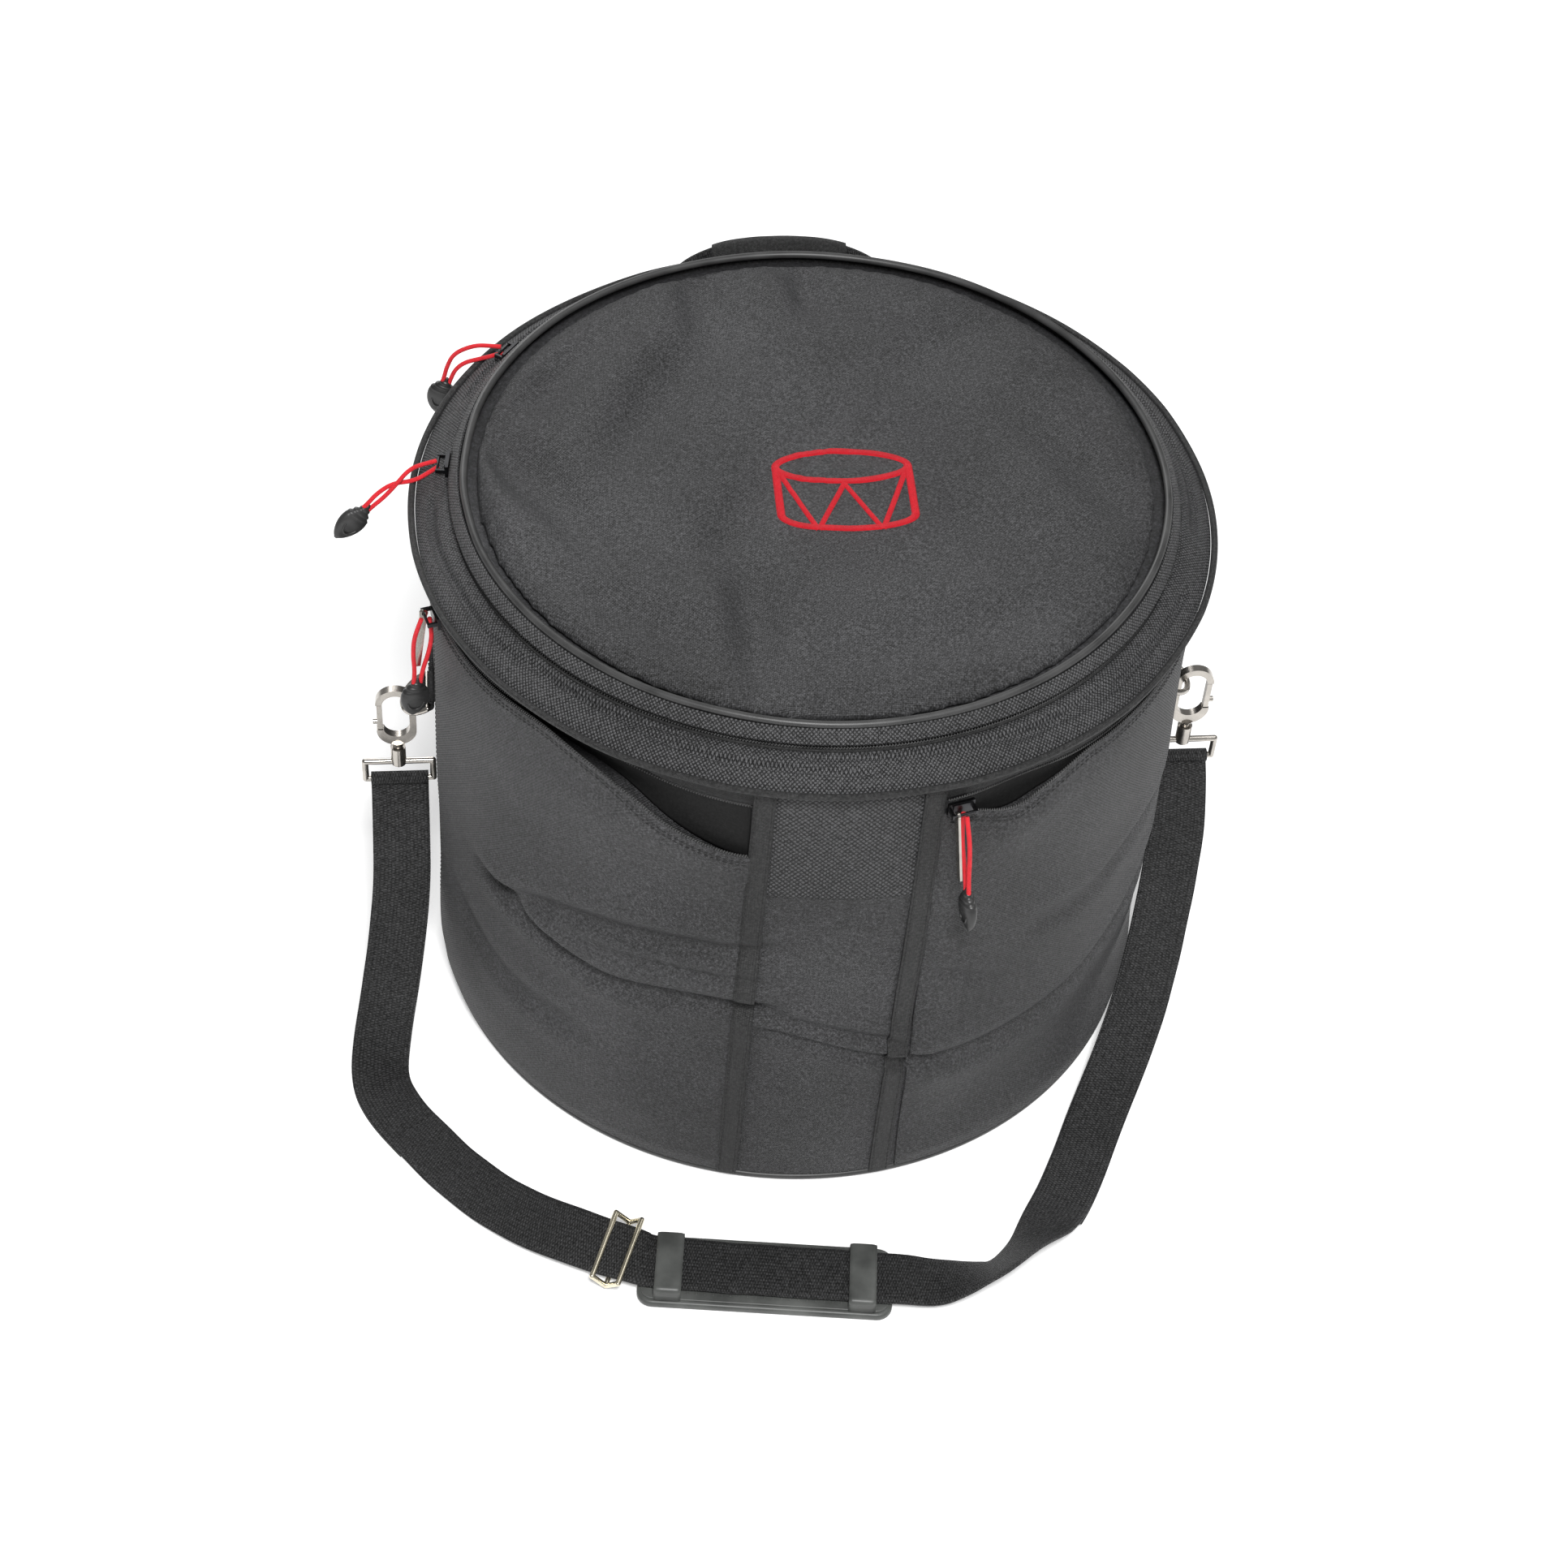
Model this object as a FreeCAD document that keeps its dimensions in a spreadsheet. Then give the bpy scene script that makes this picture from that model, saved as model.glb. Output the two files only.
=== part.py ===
import FreeCAD, Part
import math
import os

import Sketcher

# Cylindrical padded drum bag: a round base, a padded wall, a flared upper band, a zipped
# lid hinged at the back, two front pockets, a rear carry handle and a shoulder strap.
# Millimetres. The origin is the centre of the base's underside, +Z is up, -Y is the front.
# Angles are degrees about +Z from +X, so the front is 270 and the lid's hinge is at 90.

DIMENSIONS = {
    # wall, from the inside out
    "lining_inner": 208.8,
    "lining_outer": 209.8,
    "foam_inner": 210.0,
    "foam_outer": 218.4,
    "skin_inner": 218.6,
    "skin_outer": 220.0,
    "wall_low": 5.2,
    "wall_high": 345.0,
    # base, from the floor up
    "base_radius": 217.6,
    "base_gauge": 1.4,
    "board_radius": 208.0,
    "board_low": 1.6,
    "board_gauge": 3.0,
    "base_foam_low": 4.8,
    "base_foam_gauge": 8.0,
    "lining_low": 13.0,
    "lining_floor": 14.0,
    "axis": 0.0,
    # pipings, each a round cord in a folded strip
    "piping_radius": 2.2,
    "hem_ring": 220.0,
    "hem_level": 2.8,
    "ridge_ring": 228.9,
    "ridge_level": 350.8,
    "lid_ring": 199.6,
    "lid_level": 374.8,
    # flared band between the wall and the main zip
    "band_mouth": 206.5,
    "band_crest": 361.0,
    "band_edge": 226.5,
    "band_edge_high": 352.5,
    "band_edge_low": 349.3,
    "band_foot_outer": 220.3,
    "band_foot_inner": 209.0,
    "band_foot": 345.8,
    # main zip: two coils, one above the other, on their tapes
    "coil_ring": 205.4,
    "coil_radius": 1.0,
    "coil_low": 363.2,
    "coil_high": 365.6,
    "body_tape_inner": 205.2,
    "body_tape_outer": 206.3,
    "body_tape_low": 352.0,
    "body_tape_high": 362.1,
    "lid_tape_inner": 203.2,
    "lid_tape_outer": 204.2,
    "lid_tape_low": 364.8,
    "lid_tape_high": 368.8,
    # lid
    "lid_skin_radius": 197.2,
    "lid_skin_low": 374.2,
    "lid_skin_gauge": 1.4,
    "lid_foam_radius": 200.0,
    "lid_foam_low": 366.6,
    "lid_foam_gauge": 5.8,
    "lid_lining_low": 365.4,
    "lid_lining_gauge": 1.0,
    "emblem_gauge": 0.8,
    # pockets
    "pocket_inner": 222.0,
    "pocket_outer": 223.4,
    "pocket_low": 6.0,
    "pocket_hem": 8.0,
    "pocket_high": 322.0,
    "trim_inner": 220.1,
    "binding_outer": 223.6,
    "panel_outer": 221.3,
    "pocket_tape_low": 331.2,
    "pocket_tape_high": 343.0,
    "pocket_coil_high": 330.0,
    "pocket_coil_low": 327.0,
    "pocket_coil_radius": 0.9,
    # carry handle
    "handle_patch_low": 300.0,
    "handle_patch_high": 336.0,
    # webbing and its hardware
    "webbing_wide": 35.0,
    "webbing_gauge": 2.0,
    "ring_wire": 1.9,
    "loop_wire": 2.0,
    "cord_diameter": 2.6,
    "tip_half_long": 14.0,
    "tip_half_wide": 8.5,
    "tip_half_thick": 4.2,
}

# Where things sit round the bag, in degrees.
ZIP_START = 108.0
ZIP_SWEEP = 324.0
HINGE_START = 72.0
HINGE_SWEEP = 36.0
LEFT_POCKET = (190.0, 64.9)
RIGHT_POCKET = (285.1, 64.9)
LEFT_BINDING = (255.0, 6.0)
RIGHT_BINDING = (279.0, 6.0)
FRONT_PANEL = (261.1, 17.8)
BACK_SEAM = (87.4, 5.2)

# Round the bag, each zip slider's place, and how far its pull leans from straight out.
MAIN_SLIDERS = {"front": (173.5, 26.0), "rear": (144.4, 26.0)}
POCKET_SLIDERS = {"left": (196.0, 0.0), "right": (285.3, 0.0)}
MAIN_PULL_DROOP = 13.0
POCKET_PULL_DROOP = {"left": 82.0, "right": 73.0}
MAIN_BAR = (214.4, 364.6)
POCKET_BAR = (230.8, 328.0)

# A zip-pull cord, in its own plane: along the pull, and across it. It leaves one side of
# the slider's bar, turns inside the rubber tip and comes back to the bar's other side.
PULL_CORD = [
    (0.4, 2.3), (6.0, 3.6), (16.0, 5.2), (28.0, 4.4), (38.0, 2.6), (46.0, 2.0), (53.5, 2.0),
    (53.5, -2.0), (46.0, -2.0), (38.0, -2.6), (28.0, -4.4), (16.0, -5.2), (6.0, -3.6), (0.4, -2.3),
]
TIP_CENTRE = 60.0
EMBLEM_PLACE = (14.0, 0.0)

# Where each main pull starts to bend down over the ridge, how far along the bend runs,
# and by how many degrees it turns.
PULL_BENDS = {"front": (17.0, 20.0, 26.0), "rear": (17.0, 21.0, 60.0)}

# The shoulder strap's centre line, with its roll in degrees about that line: zero is
# level across, and a positive roll drops its outer edge.
STRAP_ROUTE = [
    (-244.5, 3.0, 131.0, 0), (-244.5, -20.0, 110.0, 0), (-245.0, -48.0, 83.0, 0),
    (-252.0, -84.0, 49.0, 0), (-260.0, -112.0, 20.0, 0), (-263.0, -134.0, 2.2, 0),
    (-254.0, -157.0, 1.6, 0), (-234.0, -184.0, 1.6, 0), (-212.0, -212.0, 2.6, 4),
    (-184.0, -240.0, 7.0, 10), (-157.0, -258.6, 12.0, 15), (-130.0, -271.5, 12.2, 12),
    (-114.0, -278.0, 11.6, 8), (-102.0, -283.2, 10.4, -1), (44.0, -301.8, 9.4, 0),
    (66.0, -302.8, 6.0, -6), (84.0, -303.0, 9.0, -27), (102.0, -299.5, 15.5, -50),
    (122.0, -284.0, 14.5, -46), (140.0, -260.0, 4.5, -8), (158.0, -229.0, 1.8, 0),
    (178.0, -186.0, 4.2, 0), (199.0, -149.0, 21.0, 8), (216.0, -115.0, 45.0, 16),
    (232.0, -70.0, 84.0, 16), (244.5, -24.0, 112.0, 4), (244.5, 3.0, 131.0, 0),
]
GLIDE_PLACE = (-122.5, -274.6, 11.9)
GLIDE_HEADING = -22.3
GLIDE_ROLL = 10.5
PAD_PLACE = (-36.0, -291.8, 0.0)
PAD_HEADING = -7.1
PAD_SIZE = (150.0, 48.0, 6.6)

# Shoulder hooks, one each side: everything hangs from a D-ring in a sewn tab.
RING_BAR = (225.2, 206.0)
RING_TILT = 60.0
RING_DEEP = 17.0
RING_HALF_WIDE = 15.0
HOOK_AXIS = 244.5
HOOK_LOW = 163.0
HOOK_HIGH = 209.0
LOOP_LEVEL = 131.0
LOOP_TOP = 146.0


document = FreeCAD.newDocument("drum_bag")
sheet = document.addObject("Spreadsheet::Sheet", "dims")
for row, (alias, value) in enumerate(DIMENSIONS.items(), start=1):
    sheet.set(f"A{row}", alias)
    sheet.set(f"B{row}", str(value))
    sheet.setAlias(f"B{row}", alias)
document.recompute()

pieces = []


def size(alias):
    """One driving dimension, read from the sheet."""
    return float(sheet.get(alias))


def keep(piece, label):
    """Give a finished sub-part its name and list it for checking and export."""
    piece.Label = label
    pieces.append(piece)
    return piece


def about_z(degrees):
    return FreeCAD.Rotation(FreeCAD.Vector(0, 0, 1), degrees)


def origin_plane(body, role):
    return next(plane for plane in body.Origin.OriginFeatures if plane.Role == role)


def add_polygon(sketch, corners):
    """A closed outline whose corners are bound to the sheet's cells."""
    count = len(corners)
    points = [FreeCAD.Vector(size(x), size(y), 0) for x, y in corners]
    for index in range(count):
        sketch.addGeometry(Part.LineSegment(points[index], points[(index + 1) % count]), False)
    for index in range(count):
        sketch.addConstraint(Sketcher.Constraint("Coincident", index, 2, (index + 1) % count, 1))
    for index, (x, y) in enumerate(corners):
        across = sketch.addConstraint(Sketcher.Constraint("DistanceX", -1, 1, index, 1, size(x)))
        sketch.setExpression(f"Constraints[{across}]", f"dims.{x}")
        upward = sketch.addConstraint(Sketcher.Constraint("DistanceY", -1, 1, index, 1, size(y)))
        sketch.setExpression(f"Constraints[{upward}]", f"dims.{y}")


def turned(label, corners, start=0.0, sweep=360.0):
    """A section of radius and height turned about the bag's axis, all round or part way."""
    body = document.addObject("PartDesign::Body", label)
    sketch = body.newObject("Sketcher::SketchObject", f"{label}_section")
    sketch.AttachmentSupport = [(origin_plane(body, "XZ_Plane"), "")]
    sketch.MapMode = "FlatFace"
    add_polygon(sketch, corners)
    turn = body.newObject("PartDesign::Revolution", f"{label}_turn")
    turn.Profile = sketch
    turn.ReferenceAxis = (sketch, ["V_Axis"])
    turn.Angle = sweep
    document.recompute()
    # The turn may run either way round, so the part's start is set by where it ends up.
    middle = body.Shape.CenterOfMass
    angle = math.degrees(math.atan2(middle.y, middle.x)) if sweep < 360.0 else 0.0
    body.Placement = FreeCAD.Placement(FreeCAD.Vector(), about_z(start + sweep / 2 - angle))
    return keep(body, label)


def shell(label, inner, outer, low, high, start=0.0, sweep=360.0):
    """A plain band between two radii and two heights."""
    corners = [(inner, low), (outer, low), (outer, high), (inner, high)]
    return turned(label, corners, start, sweep)


def disc(label, radius, low, gauge):
    """A round sheet padded up from its own plane."""
    body = document.addObject("PartDesign::Body", label)
    sketch = body.newObject("Sketcher::SketchObject", f"{label}_outline")
    sketch.AttachmentSupport = [(origin_plane(body, "XY_Plane"), "")]
    sketch.MapMode = "FlatFace"
    sketch.addGeometry(Part.Circle(FreeCAD.Vector(), FreeCAD.Vector(0, 0, 1), size(radius)), False)
    sketch.addConstraint(Sketcher.Constraint("Coincident", 0, 3, -1, 1))
    span = sketch.addConstraint(Sketcher.Constraint("Radius", 0, size(radius)))
    sketch.setExpression(f"Constraints[{span}]", f"dims.{radius}")
    pad = body.newObject("PartDesign::Pad", f"{label}_pad")
    pad.Profile = sketch
    pad.setExpression("Length", f"dims.{gauge}")
    if low:
        body.setExpression("Placement.Base.z", f"dims.{low}")
    return keep(body, label)


def piping(label, ring, radius, level, start=0.0, sweep=360.0):
    """A round cord laid in a ring about the axis."""
    cord = document.addObject("Part::Torus", label)
    cord.setExpression("Radius1", f"dims.{ring}")
    cord.setExpression("Radius2", f"dims.{radius}")
    cord.Angle3 = sweep
    cord.Placement = FreeCAD.Placement(FreeCAD.Vector(0, 0, size(level)), about_z(start))
    cord.setExpression("Placement.Base.z", f"dims.{level}")
    return keep(cord, label)


def shaped(label, shape, placement=None):
    """A sub-part whose form is built with Part's own functions."""
    piece = document.addObject("Part::Feature", label)
    piece.Shape = shape
    if placement is not None:
        piece.Placement = placement.multiply(shape.Placement)
    return keep(piece, label)


def box(low, high):
    """A block between two corners."""
    span = [high[i] - low[i] for i in range(3)]
    return Part.makeBox(span[0], span[1], span[2], FreeCAD.Vector(*low))


def rod(start, end, radius):
    """A round bar between two points."""
    start = FreeCAD.Vector(*start)
    axis = FreeCAD.Vector(*end) - start
    return Part.makeCylinder(radius, axis.Length, start, axis)


def fuse(shapes):
    return shapes[0].multiFuse(shapes[1:]).removeSplitter()


def group(shapes):
    """Like pieces that share one node as separate solids."""
    return Part.makeCompound([solid for shape in shapes for solid in shape.Solids])


def band_shape(inner, outer, low, high, start, sweep):
    """Part of a plain band between two radii and two heights, as a bare shape."""
    tall = size(high) - size(low)
    foot = FreeCAD.Vector(0, 0, size(low))
    up = FreeCAD.Vector(0, 0, 1)
    whole = Part.makeCylinder(size(outer), tall, foot, up, sweep)
    part = whole.cut(Part.makeCylinder(size(inner), tall, foot, up))
    part.Placement = FreeCAD.Placement(FreeCAD.Vector(), about_z(start))
    return part


def rounded_path(points):
    """Straight runs joined by tangent arcs, each as large as its two runs allow."""
    edges = []
    radii = []
    last = points[0]
    for before, corner, after in zip(points, points[1:], points[2:]):
        inward = corner - before
        outward = after - corner
        turn = inward.getAngle(outward)
        reach = 0.45 * min(inward.Length, outward.Length)
        inward.normalize()
        outward.normalize()
        entry = corner - inward * reach
        leave = corner + outward * reach
        toward = outward - inward
        toward.normalize()
        radius = reach / math.tan(turn / 2)
        middle = corner + toward * (radius / math.cos(turn / 2) - radius)
        edges.append(Part.LineSegment(last, entry).toShape())
        edges.append(Part.Arc(entry, middle, leave).toShape())
        radii.append(radius)
        last = leave
    edges.append(Part.LineSegment(last, points[-1]).toShape())
    return Part.Wire(edges), radii


def tube(points, diameter):
    """A round cord along a path of runs and arcs, with its volume compared."""
    path, radii = rounded_path(points)
    direction = points[1] - points[0]
    ring = Part.Wire([Part.makeCircle(diameter / 2, points[0], direction)])
    sweep = path.makePipeShell([ring], True, True)
    expected = math.pi * diameter**2 / 4 * path.Length
    print("cord", round(path.Length, 1), "mm, smallest radius", round(min(radii), 2),
          "volume ratio", round(sweep.Volume / expected, 3))
    return sweep


def curve_stations(route, steps):
    """Points along the smooth curve that a route's points steer, with their rolls."""
    def blend(one, two, share):
        return [a + (b - a) * share for a, b in zip(one, two)]

    stations = [route[0]]
    for index in range(1, len(route) - 1):
        first = route[0] if index == 1 else blend(route[index - 1], route[index], 0.5)
        final = route[-1] if index == len(route) - 2 else blend(route[index], route[index + 1], 0.5)
        for step in range(1, steps + 1):
            share = step / steps
            near = blend(first, route[index], share)
            far = blend(route[index], final, share)
            stations.append(blend(near, far, share))
    return stations


def ribbon(stations, wide, gauge, lift=0.0):
    """Flat webbing through the stations, level across except for its roll."""
    outlines = []
    places = [FreeCAD.Vector(*station[:3]) for station in stations]
    for index, place in enumerate(places):
        ahead = places[min(index + 1, len(places) - 1)] - places[max(index - 1, 0)]
        ahead.normalize()
        across = ahead.cross(FreeCAD.Vector(0, 0, 1))
        across.normalize()
        across = FreeCAD.Rotation(ahead, stations[index][3]).multVec(across)
        normal = across.cross(ahead)
        centre = place + normal * lift
        corners = []
        for side, level in ((-1, -1), (1, -1), (1, 1), (-1, 1)):
            corners.append(centre + across * (side * wide / 2) + normal * (level * gauge / 2))
        outlines.append(Part.makePolygon(corners + [corners[0]]))
    return Part.makeLoft(outlines, True, True)


def make_base():
    disc("base_panel", "base_radius", None, "base_gauge")
    disc("base_board", "board_radius", "board_low", "board_gauge")
    disc("base_foam", "board_radius", "base_foam_low", "base_foam_gauge")
    piping("base_piping", "hem_ring", "piping_radius", "hem_level")


def make_wall():
    shell("wall_panel", "skin_inner", "skin_outer", "wall_low", "wall_high")
    shell("wall_foam", "foam_inner", "foam_outer", "wall_low", "wall_high")
    turned("lining", [
        ("axis", "lining_low"), ("lining_outer", "lining_low"), ("lining_outer", "wall_high"),
        ("lining_inner", "wall_high"), ("lining_inner", "lining_floor"), ("axis", "lining_floor"),
    ])
    turned("upper_band", [
        ("band_mouth", "band_crest"), ("band_edge", "band_edge_high"),
        ("band_edge", "band_edge_low"), ("band_foot_outer", "band_foot"),
        ("band_foot_inner", "band_foot"), ("band_mouth", "body_tape_low"),
    ])
    piping("ridge_piping", "ridge_ring", "piping_radius", "ridge_level")
    shell("back_seam_tape", "trim_inner", "panel_outer", "pocket_low", "wall_high", *BACK_SEAM)
    shell("front_panel", "trim_inner", "panel_outer", "pocket_low", "wall_high", *FRONT_PANEL)
    shaped("pocket_bindings", group([
        band_shape("trim_inner", "binding_outer", "pocket_low", "wall_high", *LEFT_BINDING),
        band_shape("trim_inner", "binding_outer", "pocket_low", "wall_high", *RIGHT_BINDING),
    ]))


def make_pockets():
    """Flat patch pockets, sewn at their foot and sides and zipped along the top."""
    outline = [
        ("trim_inner", "pocket_low"), ("pocket_outer", "pocket_low"),
        ("pocket_outer", "pocket_high"), ("pocket_inner", "pocket_high"),
        ("pocket_inner", "pocket_hem"), ("trim_inner", "pocket_hem"),
    ]
    for side, span in (("left", LEFT_POCKET), ("right", RIGHT_POCKET)):
        turned(f"pocket_{side}", outline, *span)
        shell(f"pocket_tape_{side}", "trim_inner", "panel_outer",
              "pocket_tape_low", "pocket_tape_high", *span)
        coils = []
        for ring, level in (("panel_outer", "pocket_coil_high"), ("pocket_inner", "pocket_coil_low")):
            coil = Part.makeTorus(size(ring), size("pocket_coil_radius"), FreeCAD.Vector(),
                                  FreeCAD.Vector(0, 0, 1), 0, 360, span[1])
            coil.Placement = FreeCAD.Placement(FreeCAD.Vector(0, 0, size(level)), about_z(span[0]))
            coils.append(coil)
        shaped(f"pocket_coils_{side}", group(coils))


def make_main_zip():
    span = (ZIP_START, ZIP_SWEEP)
    hinge = (HINGE_START, HINGE_SWEEP)
    for label, place in (("zip_tape_body", span), ("hinge_tape", hinge)):
        shell(label, "body_tape_inner", "body_tape_outer", "body_tape_low", "body_tape_high", *place)
    for label, place in (("zip_tape_lid", span), ("hinge_flap", hinge)):
        shell(label, "lid_tape_inner", "lid_tape_outer", "lid_tape_low", "lid_tape_high", *place)
    piping("zip_coil_body", "coil_ring", "coil_radius", "coil_low", *span)
    piping("zip_coil_lid", "coil_ring", "coil_radius", "coil_high", *span)


def make_lid():
    disc("lid_panel", "lid_skin_radius", "lid_skin_low", "lid_skin_gauge")
    disc("lid_foam", "lid_foam_radius", "lid_foam_low", "lid_foam_gauge")
    disc("lid_lining", "lid_foam_radius", "lid_lining_low", "lid_lining_gauge")
    piping("lid_piping", "lid_ring", "piping_radius", "lid_level")
    slope = [(202.2, 374.2), (207.6, 367.0), (205.8, 367.0), (201.2, 372.6)]
    outline = Part.makePolygon([FreeCAD.Vector(r, 0, z) for r, z in slope + slope[:1]])
    band = Part.Face(outline).revolve(FreeCAD.Vector(), FreeCAD.Vector(0, 0, 1), 360)
    shaped("lid_band", band)


def make_emblem():
    """A generic drum pictogram in raised stitching: a rim, a shell and its tension cords."""
    gauge = size("emblem_gauge")
    top = size("lid_skin_low") + size("lid_skin_gauge")
    line = 4.6
    half = 40.0
    squash = 15.0
    drop = 40.0

    def oval(centre, long, short):
        curve = Part.Ellipse(FreeCAD.Vector(0, centre, 0), long, short).toShape()
        return Part.Face(Part.Wire([curve]))

    def band(start, end, width):
        start = FreeCAD.Vector(*start, 0)
        end = FreeCAD.Vector(*end, 0)
        side = (end - start).cross(FreeCAD.Vector(0, 0, 1))
        side.normalize()
        side = side * (width / 2)
        corners = [start + side, end + side, end - side, start - side, start + side]
        return Part.Face(Part.makePolygon(corners))

    rim = oval(0, half, squash).cut(oval(0, half - line, squash - line))
    foot = oval(-drop, half, squash).cut(oval(-drop, half - line, squash - line))
    foot = foot.cut(Part.makePlane(4 * half, drop + half, FreeCAD.Vector(-2 * half, -drop, 0)))
    sides = [band((x, 0), (x, -drop), line) for x in (-half + line / 2, half - line / 2)]

    def shell_edge(x, level):
        return level - squash * math.sqrt(1 - (x / half) ** 2)

    places = [-half + 5, -18, 0, 18, half - 5]
    cords = []
    for index in range(4):
        low_end = -drop if index % 2 == 0 else 0
        high_end = 0 if index % 2 == 0 else -drop
        start = (places[index], shell_edge(places[index], high_end))
        end = (places[index + 1], shell_edge(places[index + 1], low_end))
        cords.append(band(start, end, line * 0.7))
    flat = rim.multiFuse([foot] + sides + cords).removeSplitter()
    flat.translate(FreeCAD.Vector(*EMBLEM_PLACE, top))
    shaped("emblem", flat.extrude(FreeCAD.Vector(0, 0, gauge)))


def make_slider(label, angle, bar, back):
    """A zip slider: a plate over the coils with a round bar held off it by two posts."""
    radius, level = bar
    plate = box((back, -7.5, level - 4), (back + 1.8, 7.5, level + 4))
    nose = box((back, -5.0, level - 3.2), (back + 2.4, 5.0, level + 3.2))
    shapes = [plate, nose, rod((radius, -6.6, level), (radius, 6.6, level), 0.8)]
    for across in (-6.6, 6.6):
        shapes.append(box((back, across - 0.7, level - 1.2), (radius + 0.8, across + 0.7, level + 1.2)))
    shaped(label, fuse(shapes), FreeCAD.Placement(FreeCAD.Vector(), about_z(angle)))


def pull_frame(angle, lean, droop, bar):
    """Where a pull hangs: at the slider's bar, leaning round and drooping down."""
    place = about_z(angle).multVec(FreeCAD.Vector(bar[0], 0, bar[1]))
    turn = about_z(angle + lean).multiply(FreeCAD.Rotation(FreeCAD.Vector(0, 1, 0), droop))
    return FreeCAD.Placement(place, turn)


def bent(name, along):
    """The place and the downward turn of a pull's middle line, in the pull's own frame."""
    start, run, turn = PULL_BENDS.get(name, (0.0, 1.0, 0.0))
    if turn == 0 or along <= start:
        return FreeCAD.Placement(FreeCAD.Vector(along, 0, 0), FreeCAD.Rotation())
    radius = run / math.radians(turn)
    angle = math.radians(turn) * min(1.0, (along - start) / run)
    beyond = max(0.0, along - start - run)
    place = FreeCAD.Vector(
        start + radius * math.sin(angle) + beyond * math.cos(angle), 0,
        -radius * (1 - math.cos(angle)) - beyond * math.sin(angle))
    return FreeCAD.Placement(place, FreeCAD.Rotation(FreeCAD.Vector(0, 1, 0), math.degrees(angle)))


def make_pull(name, frame):
    """A looped cord with a rubber tip; along the pull is +X, and the loop lies in XZ."""
    points = []
    for along, across in PULL_CORD:
        points.append(frame.multVec(bent(name, along).multVec(FreeCAD.Vector(0, 0, across))))
    shaped(f"pull_cord_{name}", tube(points, size("cord_diameter")))
    egg = document.addObject("Part::Ellipsoid", f"tip_form_{name}")
    egg.setExpression("Radius1", "dims.tip_half_thick")
    egg.setExpression("Radius2", "dims.tip_half_long")
    egg.setExpression("Radius3", "dims.tip_half_wide")
    socket = document.addObject("Part::Box", f"tip_socket_{name}")
    socket.Length = 11.5
    socket.Width = 3.4
    socket.Height = 7.2
    socket.Placement = FreeCAD.Placement(FreeCAD.Vector(-15, -1.7, -3.6), FreeCAD.Rotation())
    tip = document.addObject("Part::Cut", f"pull_tip_{name}")
    tip.Base = egg
    tip.Tool = socket
    tip.Placement = frame.multiply(bent(name, TIP_CENTRE))
    keep(tip, f"pull_tip_{name}")


def make_pull_tab(name, frame):
    """The slider's own slim metal tab, beside the cord, with an eye round the bar."""
    eye = rod((0, -4.9, 0), (0, -3.5, 0), 2.5)
    blade = box((1.0, -4.9, -2.2), (40.0, -3.5, 2.2))
    hole = rod((0, -6, 0), (0, -2, 0), 1.1)
    shape = fuse([eye, blade]).cut(hole)
    shaped(f"pull_tab_{name}", shape, frame)


def make_sliders():
    for name, (angle, lean) in MAIN_SLIDERS.items():
        make_slider(f"zip_slider_{name}", angle, MAIN_BAR, 208.0)
        make_pull(name, pull_frame(angle, lean, MAIN_PULL_DROOP, MAIN_BAR))
    for name, (angle, lean) in POCKET_SLIDERS.items():
        make_slider(f"pocket_slider_{name}", angle, POCKET_BAR, 224.2)
        frame = pull_frame(angle, lean, POCKET_PULL_DROOP[name], POCKET_BAR)
        make_pull(f"pocket_{name}", frame)
        make_pull_tab(f"pocket_{name}", frame)


def ring_tab():
    """A folded webbing tab sewn flat on the wall, its fold round the D-ring's bar."""
    bar_x, bar_z = RING_BAR
    sewn = box((220.1, -12.6, bar_z + 1.5), (222.6, 12.6, bar_z + 30))
    fold = rod((bar_x, -12.6, bar_z), (bar_x, 12.6, bar_z), 4.4)
    return fuse([sewn, fold]).cut(rod((bar_x, -20, bar_z), (bar_x, 20, bar_z), 2.3))


def d_ring():
    """A wire D: a straight bar in the tab, and a round bow tilted out from the wall."""
    wire = size("ring_wire")
    bow = Part.makeTorus(RING_HALF_WIDE, wire, FreeCAD.Vector(), FreeCAD.Vector(1, 0, 0))
    keep_low = box((-5, -30, -30), (5, 30, -(RING_DEEP - RING_HALF_WIDE)))
    bow.translate(FreeCAD.Vector(0, 0, -(RING_DEEP - RING_HALF_WIDE)))
    shapes = [bow.common(keep_low), rod((0, -RING_HALF_WIDE, 0), (0, RING_HALF_WIDE, 0), wire)]
    for side in (-1, 1):
        y = side * RING_HALF_WIDE
        shapes.append(rod((0, y, -(RING_DEEP - RING_HALF_WIDE)), (0, y, 0), wire))
        shapes.append(Part.makeSphere(wire, FreeCAD.Vector(0, y, 0)))
    ring = fuse(shapes)
    ring.rotate(FreeCAD.Vector(), FreeCAD.Vector(0, 1, 0), -RING_TILT)
    ring.translate(FreeCAD.Vector(RING_BAR[0], 0, RING_BAR[1]))
    return ring


def stadium(half_wide, low, high, deep):
    """An upright rounded slot shape about the hook's axis, deep along Y."""
    ends = []
    for level in (low + half_wide, high - half_wide):
        ends.append(rod((HOOK_AXIS, -deep, level), (HOOK_AXIS, deep, level), half_wide))
    middle = box((HOOK_AXIS - half_wide, -deep, low + half_wide),
                 (HOOK_AXIS + half_wide, deep, high - half_wide))
    return fuse([middle] + ends)


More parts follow.
